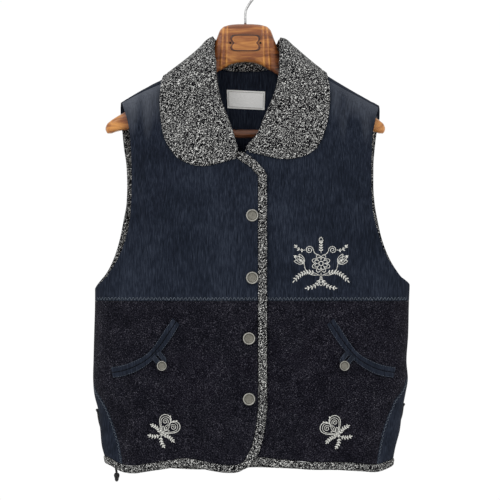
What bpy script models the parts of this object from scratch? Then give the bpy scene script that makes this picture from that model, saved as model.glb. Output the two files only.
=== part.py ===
# Folk vest on a wooden hanger: denim yoke, wool skirt, tweed collar and tweed bindings.
# Metres, +Z up. The front faces -Y and the wearer's left is +X.
# The origin is the inner top of the hanger's hook, where a rail carries it.

import bmesh
import bpy
import math
import numpy as np
from mathutils import Vector

# Cloth walls, in metres
DENIM_WALL = 0.0020
WOOL_WALL = 0.0024
TWEED_WALL = 0.0026
BAND_WALL = 0.0030
TRIM_WALL = 0.0016
LABEL_WALL = 0.0010
SEAM_GAP = 0.0003
BAND_PROUD = 0.0005

# Body form: radius over the hanger's arms, how flat the front and back are, and the lap of the fronts
RIDGE_ROUND = 0.022
FLATNESS = 0.5
LAP_RISE = 0.0046
LAP_START = -0.052
LAP_FULL = -0.022

# Seam below the bust, centre front seams of the two bands, and the height of the hem binding
YOKE_SEAM = -0.523
LEFT_BAND_SEAM = 0.000
BAND_WIDTH = 0.0140
HEM_HEIGHT = 0.0125

# Notions
BUTTON_RADIUS = 0.0100
POCKET_BUTTON_RADIUS = 0.0080
BUTTON_STEPS = 16
CORD_RADIUS = 0.0019
KNOT_RADIUS = 0.0028
END_KNOT_RADIUS = 0.0042

BUTTON_CLEAR = 0.0006
BUTTON_PROFILE = [
    (0.00, 0.16), (0.62, 0.16), (0.76, 0.22), (0.86, 0.32), (0.96, 0.28), (1.00, 0.15), (0.94, 0.0), (0.00, 0.0),
]
FRONT_BUTTONS = [(0.011, -0.387), (0.011, -0.486), (0.006, -0.582), (0.006, -0.678)]
POCKET_BUTTON = (-0.1320, -0.6255)

# Label corners, clockwise from the upper right as the wearer has it
LABEL_CORNERS = [(-0.030, -0.184), (0.032, -0.187), (0.031, -0.217), (-0.029, -0.214)]

# Armhole facings
FACING_ROWS = slice(7, 17)
FACING_WALL = 0.0012

# Hanger
HOOK_WIRE = 0.0020
HOOK_RADIUS = 0.0224
HOOK_START = -50
HOOK_END = 200
HOOK_STEM = [
    (0.0, -0.0800), (0.0, -0.0700), (0.0002, -0.0625), (0.0022, -0.0550), (0.0068, -0.0474), (0.0108, -0.0420),
]
BAR_RADIUS = 0.0068
BAR_HEIGHT = -0.2557
BAR_HALF_LENGTH = 0.180
PLATE_HEIGHT = -0.1112
PLATE_HALF_WIDTH = 0.0240
PLATE_HALF_HEIGHT = 0.0132
PLATE_CORNER = 0.0045
PLATE_NOTCH = 0.0045
PLATE_WALL = 0.0018
SCREW_RADIUS = 0.0016
SCREW_HEAD = 0.0010

FRONT = 1
BACK = -1
QUARTER = math.pi / 2


def table(names, rows):
    return dict(zip(names.split(), np.array(rows).T))


# The body's outline and depth at each height, hem first
BODY = table("height right left front back", [
    (-0.800, -0.2210, 0.2330, 0.054, 0.040),
    (-0.774, -0.2245, 0.2370, 0.054, 0.040),
    (-0.758, -0.2290, 0.2400, 0.053, 0.039),
    (-0.731, -0.2320, 0.2470, 0.053, 0.039),
    (-0.699, -0.2350, 0.2510, 0.052, 0.038),
    (-0.673, -0.2415, 0.2560, 0.052, 0.038),
    (-0.650, -0.2435, 0.2600, 0.051, 0.038),
    (-0.620, -0.2430, 0.2580, 0.050, 0.037),
    (-0.580, -0.2420, 0.2605, 0.050, 0.037),
    (-0.523, -0.2405, 0.2620, 0.048, 0.036),
    (-0.500, -0.2405, 0.2630, 0.047, 0.035),
    (-0.400, -0.2405, 0.2630, 0.043, 0.034),
    (-0.300, -0.2405, 0.2630, 0.036, 0.030),
    (-0.200, -0.2405, 0.2630, 0.029, 0.027),
    (-0.100, -0.2405, 0.2630, 0.027, 0.026),
])
SHOULDER_MIDDLE = (BODY["left"][-1] + BODY["right"][-1]) / 2
SHOULDER_HALF = (BODY["left"][-1] - BODY["right"][-1]) / 2

# The ridge over the hanger's arms, also where it is only thought on across the neck
RIDGE = table("x height", [
    (-0.250, -0.234),
    (-0.193, -0.202),
    (-0.135, -0.170),
    (-0.062, -0.130),
    (-0.030, -0.110),
    (0.000, -0.100),
    (0.030, -0.107),
    (0.066, -0.127),
    (0.133, -0.165),
    (0.201, -0.204),
    (0.250, -0.232),
])

# Soft folds: which face, the line that each follows, its width, and its rise or hollow
FOLDS = table("face top_x top_z low_x low_z width rise", [
    (FRONT, -0.162, -0.230, -0.152, -0.500, 0.017, 0.0040),
    (FRONT, -0.128, -0.290, -0.122, -0.530, 0.018, -0.0030),
    (FRONT, 0.182, -0.230, 0.170, -0.480, 0.017, 0.0035),
    (FRONT, 0.150, -0.300, 0.146, -0.540, 0.018, -0.0030),
    (FRONT, -0.178, -0.580, -0.184, -0.900, 0.022, 0.0050),
    (FRONT, -0.092, -0.650, -0.096, -0.900, 0.026, -0.0050),
    (FRONT, -0.050, -0.600, -0.048, -0.900, 0.018, 0.0035),
    (FRONT, 0.062, -0.640, 0.054, -0.900, 0.026, -0.0040),
    (FRONT, 0.118, -0.620, 0.126, -0.900, 0.024, 0.0045),
    (FRONT, 0.205, -0.600, 0.196, -0.900, 0.018, 0.0040),
    (BACK, -0.120, -0.240, -0.134, -0.520, 0.022, 0.0040),
    (BACK, 0.132, -0.250, 0.140, -0.500, 0.020, 0.0040),
    (BACK, 0.004, -0.300, 0.012, -0.900, 0.030, -0.0040),
    (BACK, -0.104, -0.560, -0.116, -0.900, 0.030, 0.0055),
    (BACK, 0.092, -0.580, 0.106, -0.900, 0.028, 0.0050),
    (BACK, -0.180, -0.620, -0.172, -0.900, 0.022, -0.0030),
])
FOLD_FADE = 0.070

# Hem line of the front and the back
HEM = table("x front back", [
    (-0.240, -0.7770, -0.7770),
    (-0.223, -0.7825, -0.7825),
    (-0.215, -0.7855, -0.7845),
    (-0.200, -0.7935, -0.7870),
    (-0.179, -0.7965, -0.7890),
    (-0.157, -0.7935, -0.7910),
    (-0.127, -0.7890, -0.7930),
    (-0.093, -0.7845, -0.7950),
    (-0.050, -0.7925, -0.7950),
    (-0.029, -0.7950, -0.7940),
    (-0.008, -0.7925, -0.7930),
    (0.003, -0.7860, -0.7920),
    (0.056, -0.7865, -0.7930),
    (0.099, -0.7900, -0.7950),
    (0.141, -0.7905, -0.7940),
    (0.184, -0.7930, -0.7915),
    (0.216, -0.7940, -0.7895),
    (0.236, -0.7866, -0.7866),
    (0.255, -0.7790, -0.7790),
])

# Front yokes, a row for each section from the shoulder seam down: armhole side, then neck and front edge
RIGHT_YOKE = table("armhole_x armhole_z neck_x neck_z", [
    (-0.1970, -0.2063, -0.0620, -0.1420),
    (-0.1970, -0.2067, -0.0620, -0.1426),
    (-0.1960, -0.2105, -0.0625, -0.1475),
    (-0.1930, -0.2190, -0.0630, -0.1560),
    (-0.1880, -0.2350, -0.0630, -0.1700),
    (-0.1840, -0.2600, -0.0580, -0.1980),
    (-0.1815, -0.2990, -0.0470, -0.2340),
    (-0.1810, -0.3370, -0.0290, -0.2670),
    (-0.1820, -0.3760, -0.0120, -0.2970),
    (-0.1860, -0.4050, 0.0100, -0.3130),
    (-0.1960, -0.4400, 0.0205, -0.3270),
    (-0.2100, -0.4670, 0.0205, -0.3700),
    (-0.2250, -0.4880, 0.0205, -0.4200),
    (-0.2402, -0.5030, 0.0205, -0.4650),
    (-0.2500, -0.5050, 0.0205, -0.4900),
    (-0.2500, YOKE_SEAM, 0.0205, YOKE_SEAM),
])
LEFT_YOKE = table("armhole_x armhole_z neck_x neck_z", [
    (0.2130, -0.2130, 0.0680, -0.1390),
    (0.2130, -0.2135, 0.0680, -0.1396),
    (0.2125, -0.2170, 0.0685, -0.1460),
    (0.2105, -0.2230, 0.0695, -0.1560),
    (0.2070, -0.2380, 0.0690, -0.1710),
    (0.2030, -0.2600, 0.0650, -0.1980),
    (0.2012, -0.2990, 0.0540, -0.2320),
    (0.2010, -0.3370, 0.0340, -0.2640),
    (0.2020, -0.3700, LEFT_BAND_SEAM, -0.2860),
    (0.2060, -0.3950, LEFT_BAND_SEAM, -0.3100),
    (0.2150, -0.4250, LEFT_BAND_SEAM, -0.3400),
    (0.2260, -0.4530, LEFT_BAND_SEAM, -0.3750),
    (0.2430, -0.4780, LEFT_BAND_SEAM, -0.4200),
    (0.2627, -0.4970, LEFT_BAND_SEAM, -0.4650),
    (0.2800, -0.4990, LEFT_BAND_SEAM, -0.4900),
    (0.2800, YOKE_SEAM, LEFT_BAND_SEAM, YOKE_SEAM),
])
NECK_ROWS = 9
RIGHT_BAND_START = (-0.0115, -0.2855)
RIGHT_BAND_END = (0.0050, -0.7865)
MITRE_GAP = 0.0008

# Shares of a front's width at which its columns lie, from the side to the front edge
FRONT_SHARES = np.array([0, 0.006, 0.06, 0.14, 0.22, 0.31, 0.4, 0.5, 0.6, 0.7, 0.8, 0.9, 1.0])
BACK_SHARES = np.array([0, 0.006, 0.1, 0.26, 0.42, 0.6, 0.8, 1.0])
BACK_SHOULDER_TURN = math.radians(48)
BACK_NECK_TURN = math.radians(36)

# Back armholes, a row for each section from the shoulder seam in front, over the ridge and down
BACK_ARMHOLE = table("right_x right_z left_x left_z face", [
    (-0.1970, -0.2063, 0.2130, -0.2130, FRONT),
    (-0.1970, -0.2060, 0.2130, -0.2127, FRONT),
    (-0.1985, -0.2050, 0.2135, -0.2112, FRONT),
    (-0.1995, -0.2060, 0.2140, -0.2117, BACK),
    (-0.2000, -0.2095, 0.2150, -0.2150, BACK),
    (-0.2005, -0.2150, 0.2155, -0.2210, BACK),
    (-0.2005, -0.2230, 0.2155, -0.2290, BACK),
    (-0.2000, -0.2340, 0.2145, -0.2400, BACK),
    (-0.1980, -0.2500, 0.2110, -0.2540, BACK),
    (-0.1950, -0.2790, 0.2080, -0.2790, BACK),
    (-0.1910, -0.3080, 0.2060, -0.3080, BACK),
    (-0.1900, -0.3370, 0.2060, -0.3370, BACK),
    (-0.1910, -0.3660, 0.2080, -0.3660, BACK),
    (-0.1960, -0.3950, 0.2130, -0.3950, BACK),
    (-0.2020, -0.4250, 0.2200, -0.4250, BACK),
    (-0.2110, -0.4540, 0.2310, -0.4540, BACK),
    (-0.2240, -0.4800, 0.2450, -0.4780, BACK),
    (-0.2402, -0.5030, 0.2627, -0.4970, BACK),
    (-0.2500, -0.5050, 0.2800, -0.4990, BACK),
    (-0.2500, YOKE_SEAM, 0.2800, YOKE_SEAM, BACK),
])

# Skirts below the yoke seam, a row for each section: side or insert seam on each side, and right front edge
SKIRT = table("right_x right_z left_x left_z front_x front_z", [
    (-0.2600, YOKE_SEAM, 0.2800, YOKE_SEAM, 0.0205, YOKE_SEAM),
    (-0.2600, -0.5600, 0.2800, -0.5550, 0.0205, -0.5550),
    (-0.2600, -0.6000, 0.2800, -0.5900, 0.0205, -0.5900),
    (-0.2600, -0.6280, 0.2800, -0.6180, 0.0205, -0.6250),
    (-0.2600, -0.6500, 0.2800, -0.6400, 0.0205, -0.6430),
    (-0.2432, -0.6518, 0.2596, -0.6418, 0.0205, -0.6480),
    (-0.2410, -0.6580, 0.2565, -0.6480, 0.0205, -0.6560),
    (-0.2372, -0.6665, 0.2535, -0.6565, 0.0205, -0.6680),
    (-0.2305, -0.6765, 0.2480, -0.6665, 0.0205, -0.6820),
    (-0.2225, -0.6900, 0.2380, -0.6800, 0.0200, -0.6960),
    (-0.2155, -0.7050, 0.2310, -0.6960, 0.0185, -0.7100),
    (-0.2095, -0.7220, 0.2240, -0.7140, 0.0165, -0.7240),
    (-0.2045, -0.7380, 0.2180, -0.7340, 0.0140, -0.7380),
    (-0.2000, -0.7540, 0.2140, -0.7540, 0.0100, -0.7540),
    (-0.1960, -0.7806, 0.2090, -0.7810, -0.0020, -0.7755),
])
INSERT_ROW = 4
APEX_ROWS = 2
APEX_SHARES = np.array([0, 0.4, 0.77, 1.0])
INSERT_SHARES = np.linspace(0, 1, 4)
HEM_SIDE_SHARE = 0.97

# Back neckline, a row for each section from the wearer's right
BACK_NECK = table("collar_row x z face", [
    (7.5, -0.0618, -0.1365, FRONT),
    (8.0, -0.0615, -0.1320, FRONT),
    (9.0, -0.0612, 0.0000, BACK),
    (9.5, -0.0600, -0.1320, BACK),
    (10.0, -0.0580, -0.1375, BACK),
    (11.0, -0.0510, -0.1445, BACK),
    (12.0, -0.0360, -0.1530, BACK),
    (13.0, -0.0180, -0.1555, BACK),
    (14.0, 0.0000, -0.1560, BACK),
    (15.0, 0.0190, -0.1555, BACK),
    (16.0, 0.0380, -0.1525, BACK),
    (17.0, 0.0550, -0.1430, BACK),
    (18.0, 0.0635, -0.1350, BACK),
    (18.5, 0.0652, -0.1300, BACK),
    (19.0, 0.0665, 0.0000, BACK),
    (20.0, 0.0672, -0.1300, FRONT),
    (20.5, 0.0677, -0.1340, FRONT),
])

# Collar, a row for each section from the right front end round the neck: the roll line and the outer edge.
# A height of zero stands for the ridge.
COLLAR = table("roll_x roll_z rise edge_x edge_z face", [
    (-0.0130, -0.2800, 0.0065, -0.0150, -0.2975, FRONT),
    (-0.0190, -0.2560, 0.0080, -0.0450, -0.3045, FRONT),
    (-0.0300, -0.2270, 0.0100, -0.0790, -0.3075, FRONT),
    (-0.0400, -0.2020, 0.0120, -0.1100, -0.2930, FRONT),
    (-0.0445, -0.1780, 0.0140, -0.1290, -0.2630, FRONT),
    (-0.0465, -0.1560, 0.0160, -0.1355, -0.2280, FRONT),
    (-0.0465, -0.1400, 0.0180, -0.1365, -0.2020, FRONT),
    (-0.0455, -0.1305, 0.0195, -0.1350, -0.1840, FRONT),
    (-0.0430, -0.1215, 0.0210, -0.1330, -0.1730, FRONT),
    (-0.0410, 0.0000, 0.0220, -0.1310, 0.0000, FRONT),
    (-0.0400, -0.1195, 0.0190, -0.1280, -0.1780, BACK),
    (-0.0360, -0.1240, 0.0150, -0.1180, -0.1920, BACK),
    (-0.0260, -0.1240, 0.0110, -0.0880, -0.2000, BACK),
    (-0.0130, -0.1210, 0.0085, -0.0450, -0.2030, BACK),
    (0.0000, -0.1200, 0.0080, 0.0000, -0.2040, BACK),
    (0.0135, -0.1210, 0.0085, 0.0450, -0.2030, BACK),
    (0.0280, -0.1240, 0.0110, 0.0900, -0.1990, BACK),
    (0.0400, -0.1230, 0.0150, 0.1200, -0.1900, BACK),
    (0.0460, -0.1185, 0.0190, 0.1270, -0.1740, BACK),
    (0.0475, 0.0000, 0.0220, 0.1285, 0.0000, FRONT),
    (0.0500, -0.1215, 0.0210, 0.1310, -0.1700, FRONT),
    (0.0520, -0.1305, 0.0195, 0.1335, -0.1800, FRONT),
    (0.0535, -0.1400, 0.0180, 0.1350, -0.1960, FRONT),
    (0.0540, -0.1550, 0.0160, 0.1340, -0.2180, FRONT),
    (0.0515, -0.1760, 0.0140, 0.1290, -0.2460, FRONT),
    (0.0435, -0.2010, 0.0120, 0.1130, -0.2800, FRONT),
    (0.0310, -0.2290, 0.0100, 0.0820, -0.2955, FRONT),
    (0.0185, -0.2580, 0.0080, 0.0420, -0.2945, FRONT),
    (0.0030, -0.2760, 0.0060, 0.0060, -0.2870, FRONT),
])
COLLAR_STEP_BACK = 0.1
COLLAR_COLUMNS = np.array([
    0, 0.5, 1, 1.5, 2, 2.5, 3, 3.5, 4, 5, 6, 7, 7.5, 8, 8.5, 9, 9.5, 10, 10.5, 11, 12, 13,
    14, 15, 16, 17, 17.5, 18, 18.5, 19, 19.5, 20, 20.5, 21, 22, 23, 24, 24.5, 25, 25.5, 26, 26.5, 27, 27.5, 28,
])
LEAF_LIFT = 0.0038
LEAF_SHARES = np.array([0.0, 0.1, 0.28, 0.5, 0.75, 1.0])
LEAF_FALL_OFF = 1.2
STAND_SHARES = np.array([0.0, 0.5, 1.0])

# Right pocket, a row for each section from the side: upper and lower edges of its two welts
POCKET = table("upper_x upper_z lower_x lower_z", [
    (-0.2130, -0.6285, -0.2095, -0.6450),
    (-0.1920, -0.6240, -0.1920, -0.6420),
    (-0.1730, -0.6165, -0.1720, -0.6345),
    (-0.1545, -0.6050, -0.1510, -0.6205),
    (-0.1405, -0.5880, -0.1310, -0.6000),
    (-0.1270, -0.5670, -0.1160, -0.5800),
    (-0.1150, -0.5500, -0.1040, -0.5600),
])
POCKET_MIRROR = 0.0125
SLIT = 0.0008
WELT_LIFT = 3 * SEAM_GAP + TRIM_WALL

# Pocket tab: a strap bent in a loop, its middle at the slit, leaning to the side seam
TAB_TOP = (-0.1420, -0.6070)
TAB_LEAN = math.radians(40)
TAB_LEG = 0.0125
TAB_STRAP = 0.0085
TAB_BEND = 0.0052
TAB_LIFT = WELT_LIFT + SEAM_GAP + TRIM_WALL

# Side cords, down the back of the inserts. The right one hangs free below the hem.
SIDE_CORD = {
    "right": table("x z", [
        (-0.2335, -0.7010),
        (-0.2315, -0.7150),
        (-0.2260, -0.7350),
        (-0.2190, -0.7540),
        (-0.2130, -0.7700),
        (-0.2080, -0.7860),
        (-0.2058, -0.7960),
        (-0.2052, -0.8036),
    ]),
    "left": table("x z", [
        (0.2500, -0.6920),
        (0.2480, -0.7050),
        (0.2430, -0.7220),
        (0.2370, -0.7380),
        (0.2320, -0.7520),
        (0.2300, -0.7600),
    ]),
}
CORD_LIFT = CORD_RADIUS + BAND_PROUD + SEAM_GAP
CORD_POINTS = 24

# Hanger sections from the middle out to the tip
ARM = table("x top bottom half_depth", [
    (0.0000, -0.0803, -0.1408, 0.0170),
    (0.0140, -0.0806, -0.1425, 0.0170),
    (0.0260, -0.0825, -0.1475, 0.0170),
    (0.0335, -0.0860, -0.1525, 0.0170),
    (0.0380, -0.0920, -0.1550, 0.0168),
    (0.0405, -0.0990, -0.1565, 0.0165),
    (0.0435, -0.1080, -0.1590, 0.0160),
    (0.0480, -0.1195, -0.1620, 0.0150),
    (0.0560, -0.1330, -0.1680, 0.0140),
    (0.0660, -0.1405, -0.1735, 0.0140),
    (0.0800, -0.1448, -0.1815, 0.0135),
    (0.1100, -0.1600, -0.1970, 0.0135),
    (0.1400, -0.1766, -0.2140, 0.0140),
    (0.1560, -0.1870, -0.2290, 0.0155),
    (0.1680, -0.1975, -0.2470, 0.0160),
    (0.1780, -0.2080, -0.2485, 0.0160),
    (0.1900, -0.2190, -0.2490, 0.0150),
    (0.2065, -0.2290, -0.2525, 0.0140),
    (0.2165, -0.2360, -0.2552, 0.0115),
    (0.2218, -0.2415, -0.2535, 0.0070),
    (0.2235, -0.2455, -0.2500, 0.0030),
])
ARM_SIDES = 16
ARM_SQUARENESS = 0.55


def smooth(knots, values, at):
    # A cubic through the knots whose slope at each one comes from its neighbours
    slopes = np.gradient(values, knots)
    at = np.clip(at, knots[0], knots[-1])
    i = np.clip(np.searchsorted(knots, at, side="right") - 1, 0, len(knots) - 2)
    step = knots[i + 1] - knots[i]
    t = (at - knots[i]) / step
    start = (2 * t**3 - 3 * t**2 + 1) * values[i] + (t**3 - 2 * t**2 + t) * step * slopes[i]
    return start + (3 * t**2 - 2 * t**3) * values[i + 1] + (t**3 - t**2) * step * slopes[i + 1]


def eased(t):
    t = np.clip(t, 0, 1)
    return t * t * (3 - 2 * t)


def body(column, z):
    return smooth(BODY["height"], BODY[column], z)


def middle_and_half(z):
    return (body("left", z) + body("right", z)) / 2, (body("left", z) - body("right", z)) / 2


def ridge(x):
    return smooth(RIDGE["x"], RIDGE["height"], x)


def fold_rise(x, z, front):
    total = np.zeros_like(x)
    for face, top_x, top_z, low_x, low_z, width, rise in zip(*FOLDS.values()):
        share = np.clip((top_z - z) / (top_z - low_z), 0, 1)
        across = (x - top_x - (low_x - top_x) * share) / width
        fade = eased((top_z - z) / FOLD_FADE) * eased((z - low_z) / FOLD_FADE)
        total += (front == (face == FRONT)) * rise * fade * np.exp(-across**2)
    return total


def surface(turn, fall):
    # Turn goes round the body from its middle line, fall goes down it from the ridge: forwards
    # above zero and backwards below. A turn past a quarter comes round on to the other face.
    front = (fall >= 0) == (np.cos(turn) >= 0)
    bend = np.minimum(np.abs(fall) / RIDGE_ROUND, QUARTER)
    straight = np.maximum(np.abs(fall) - RIDGE_ROUND * QUARTER, 0)
    top = ridge(SHOULDER_MIDDLE + SHOULDER_HALF * np.sin(turn))
    z = top - RIDGE_ROUND * (1 - np.cos(bend)) - straight
    middle, half = middle_and_half(z)
    x = middle + half * np.sin(turn)
    depth = np.where(front, body("front", z), body("back", z)) * (1 + FLATNESS * np.sin(turn) ** 2)
    y = (depth + fold_rise(x, z, front)) * np.abs(np.cos(turn)) * np.sin(bend)
    return np.stack([x, np.where(front, -y, y), z], axis=-1)


def outward(turn, fall):
    step = 1e-4
    along = surface(turn, fall + step / 10) - surface(turn, fall - step / 10)
    round_body = surface(turn + step, fall) - surface(turn - step, fall)
    normal = np.cross(along, round_body)
    return normal / np.linalg.norm(normal, axis=-1, keepdims=True)


def on_cloth(x, z, face):
    # The turn and fall of a place given as the front or the back shows it
    x, z = np.asarray(x, dtype=float), np.asarray(z, dtype=float)
    middle, half = middle_and_half(z)
    turn = np.arcsin(np.clip((x - middle) / half, -1, 1))
    drop = np.maximum(ridge(SHOULDER_MIDDLE + SHOULDER_HALF * np.sin(turn)) - z, 0)
    curved = RIDGE_ROUND * np.arccos(1 - np.minimum(drop / RIDGE_ROUND, 1))
    straight = RIDGE_ROUND * QUARTER + drop - RIDGE_ROUND
    fall = np.where(drop < RIDGE_ROUND, curved, straight)
    return np.stack([turn, fall * np.asarray(face)], axis=-1)


def lap(places):
    # How far the right front lies out over the left one
    x = surface(places[..., 0], places[..., 1])[..., 0]
    return LAP_RISE * eased((x - LAP_START) / (LAP_FULL - LAP_START))


def raised(places, lift):
    # The points over some places on the cloth, moved out along its normal
    turn, fall = places[..., 0], places[..., 1]
    return surface(turn, fall) + outward(turn, fall) * np.broadcast_to(lift, turn.shape)[..., None]


def progress(values):
    run = np.concatenate([[0], np.cumsum(np.abs(np.diff(values)))])
    return run / run[-1]


def levelled(places, share):
    # Falls counted from the ridge's height, and back again
    offset = ridge(SHOULDER_MIDDLE + SHOULDER_HALF * np.sin(places[..., :1])) * share
    return places + offset * [0, 1]


def patch(top, bottom, near, far):
    # A Coons patch between four edges: top and bottom run from near to far, near and far run down
    face = math.copysign(1, bottom[0, 1])
    top, bottom, near, far = (levelled(edge, -face) for edge in (top, bottom, near, far))
    u = ((progress(top[:, 0]) + progress(bottom[:, 0])) / 2)[None, :, None]
    v = ((progress(near[:, 1]) + progress(far[:, 1])) / 2)[:, None, None]
    ruled = (1 - v) * top[None] + v * bottom[None] + (1 - u) * near[:, None] + u * far[:, None]
    corners = (1 - v) * ((1 - u) * top[0] + u * top[-1]) + v * ((1 - u) * bottom[0] + u * bottom[-1])
    return levelled(ruled - corners, face)


def spread(start, end, shares):
    return start + (end - start) * np.asarray(shares)[..., None]


def even_x(start_x, end_x, z, shares):
    # x of points spaced by their turn round the body at one height
    middle, half = middle_and_half(np.array(z))
    start, end = np.arcsin(np.clip((np.array([start_x, end_x]) - middle) / half, -1, 1))
    return middle + half * np.sin(start + (end - start) * shares)


def pulled_in(grid):
    # Each edge moves half a seam gap towards the next line of points
    grid = grid.copy()
    for axis in (0, 1):
        lines = np.moveaxis(grid, axis, 0)
        for edge, inner in ((0, 1), (-1, -2)):
            step = lines[inner] - lines[edge]
            lines[edge] += step * (SEAM_GAP / 2 / np.linalg.norm(step, axis=-1, keepdims=True))
    return grid


def new_material(name, color, roughness, metallic=0.0):
    material = bpy.data.materials.new(name)
    material.use_nodes = True
    shader = material.node_tree.nodes["Principled BSDF"]
    shader.inputs["Base Color"].default_value = (*color, 1)
    shader.inputs["Roughness"].default_value = roughness
    shader.inputs["Metallic"].default_value = metallic
    return material


def new_object(name, data, material):
    part = bpy.data.objects.new(name, data)
    data.materials.append(material)
    if isinstance(data, bpy.types.Mesh):
        data.shade_smooth()
    vest.objects.link(part)
    return part


def sheet(name, grid, away, wall, material):
    # An open surface through a grid of points, thickened on the side that faces the body
    rows, columns = grid.shape[:2]
    index = np.arange(rows * columns).reshape(rows, columns)
    faces = np.stack([index[:-1, :-1], index[:-1, 1:], index[1:, 1:], index[1:, :-1]], axis=-1)
    facing = np.cross(grid[0, 1] - grid[0, 0], grid[1, 0] - grid[0, 0])
    if facing @ away < 0:
        faces = faces[..., ::-1]
    mesh = bpy.data.meshes.new(name)
    mesh.from_pydata(grid.reshape(-1, 3).tolist(), [], faces.reshape(-1, 4).tolist())
    part = new_object(name, mesh, material)
    thickness = part.modifiers.new("Wall", "SOLIDIFY")
    thickness.thickness = wall
    thickness.offset = -1
    return part


def cloth(name, places, wall, material, lift=0.0):
    grid = pulled_in(raised(places, lift))
    away = outward(places[:1, :1, 0], places[:1, :1, 1])[0, 0]
    return sheet(name, grid, away, wall, material)


def ribbon(path, distance):
    # The line that runs beside a path of x and z
    ahead = np.gradient(path, axis=0)
    ahead /= np.linalg.norm(ahead, axis=1, keepdims=True)
    return path + np.stack([-ahead[:, 1], ahead[:, 0]], axis=1) * distance


def seen_from_front(places):
    return surface(places[..., 0], places[..., 1])[..., [0, 2]]


def places_of(points, face):
    return on_cloth(points[..., 0], points[..., 1], face)


def hem_places(turn, face, height=0.0):
    # The hem line, or a line at some height above it, at each turn round the body
    middle, half = middle_and_half(SKIRT["right_z"][-1:])
    z = smooth(HEM["x"], HEM["front" if face == FRONT else "back"], middle + half * np.sin(turn)) + height
    drop = ridge(SHOULDER_MIDDLE + SHOULDER_HALF * np.sin(turn)) - z
    return np.stack([turn, face * (drop + RIDGE_ROUND * (QUARTER - 1))], axis=-1)


def seam_edge(side, face):
    # Side seam and insert seam of a skirt, its last row on the hem binding
    edge = on_cloth(SKIRT[side + "_x"], SKIRT[side + "_z"], face)
    edge[-1] = hem_places(edge[-1:, 0], face, HEM_HEIGHT)[0]
    return edge


def front_hem(side):
    # Turns from the insert seam to the front edge seam
    start = seam_edge(side, FRONT)[-1, 0]
    return start + (front_seam(side)[-1, 0] - start) * FRONT_SHARES


def side_hem(side, shares):
    # Turns from the insert seam to the side
    start = seam_edge(side, FRONT)[-1, 0]
    return start + (math.copysign(QUARTER, start) - start) * shares


def front_seam(side):
    # The front edge seam from the end of the neckline down to the hem binding
    yoke = RIGHT_YOKE if side == "right" else LEFT_YOKE
    skirt_x = SKIRT["front_x"] if side == "right" else np.full_like(SKIRT["front_x"], LEFT_BAND_SEAM)
    skirt = np.stack([skirt_x, SKIRT["front_z"]], axis=1)
    upper = np.stack([yoke["neck_x"], yoke["neck_z"]], axis=1)[NECK_ROWS - 1:-1]
    edge = places_of(np.concatenate([upper, skirt]), FRONT)
    edge[-1] = hem_places(edge[-1:, 0], FRONT, HEM_HEIGHT)[0]
    return edge


def front_panels(side, denim, wool):
    yoke = RIGHT_YOKE if side == "right" else LEFT_YOKE
    near = on_cloth(yoke["armhole_x"], yoke["armhole_z"], FRONT)
    far = on_cloth(yoke["neck_x"], yoke["neck_z"], FRONT)
    seam_x = even_x(yoke["armhole_x"][-1], yoke["neck_x"][-1], YOKE_SEAM, FRONT_SHARES)
    seam = on_cloth(seam_x, np.full_like(seam_x, YOKE_SEAM), FRONT)
    places = patch(spread(near[0], far[0], FRONT_SHARES), seam, near, far)
    lift = lap(places) if side == "right" else 0.0
    cloth(f"front_{side}_yoke", places, DENIM_WALL, denim, lift)
    bottom = hem_places(front_hem(side), FRONT, HEM_HEIGHT)
    places = patch(seam, bottom, seam_edge(side, FRONT), front_seam(side)[-len(SKIRT["front_x"]):])
    lift = lap(places) if side == "right" else 0.0
    cloth(f"front_{side}_skirt", places, WOOL_WALL, wool, lift)


def back_turns():
    shoulder = BACK_SHOULDER_TURN * BACK_SHARES
    neck = np.linspace(-BACK_NECK_TURN, BACK_NECK_TURN, len(BACK_NECK["x"]))
    return np.concatenate([shoulder - QUARTER, neck, QUARTER - shoulder[::-1]])


def back_hem():
    start, end = seam_edge("right", BACK)[-1, 0], seam_edge("left", BACK)[-1, 0]
    return start + (end - start) * (back_turns() / math.pi + 0.5)


def back_panels(denim, wool, tweed):
    near = on_cloth(BACK_ARMHOLE["right_x"], BACK_ARMHOLE["right_z"], BACK_ARMHOLE["face"])
    far = on_cloth(BACK_ARMHOLE["left_x"], BACK_ARMHOLE["left_z"], BACK_ARMHOLE["face"])
    shoulders = []
    for yoke in (RIGHT_YOKE, LEFT_YOKE):
        ends = on_cloth([yoke["armhole_x"][0], yoke["neck_x"][0]], [yoke["armhole_z"][0], yoke["neck_z"][0]], FRONT)
        shoulders.append(spread(ends[0], ends[1], BACK_SHARES))
    neck = on_cloth(BACK_NECK["x"], BACK_NECK["z"], BACK_NECK["face"])
    top = np.concatenate([shoulders[0], neck, shoulders[1][::-1]])
    middle, half = middle_and_half(np.array(YOKE_SEAM))
    seam_x = middle + half * np.sin(back_turns())
    seam = on_cloth(seam_x, np.full_like(seam_x, YOKE_SEAM), BACK)
    yoke = patch(top, seam, near, far)
    cloth("back_yoke", yoke, DENIM_WALL, denim)
    inside = -DENIM_WALL - SEAM_GAP
    cloth("armhole_facing_right", yoke[FACING_ROWS, 1:3], FACING_WALL, tweed, inside)
    cloth("armhole_facing_left", yoke[FACING_ROWS, -3:-1], FACING_WALL, tweed, inside)
    bottom = hem_places(back_hem(), BACK, HEM_HEIGHT)
    cloth("back_skirt", patch(seam, bottom, seam_edge("right", BACK), seam_edge("left", BACK)), WOOL_WALL, wool)


def round_side(front_places, back_places):
    # Back places told as a turn past the side, so that a run from front to back is unbroken
    side = math.copysign(math.pi, front_places[0, 0])
    behind = np.stack([side - back_places[:, 0], -back_places[:, 1]], axis=1)
    return np.concatenate([front_places, behind])


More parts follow.
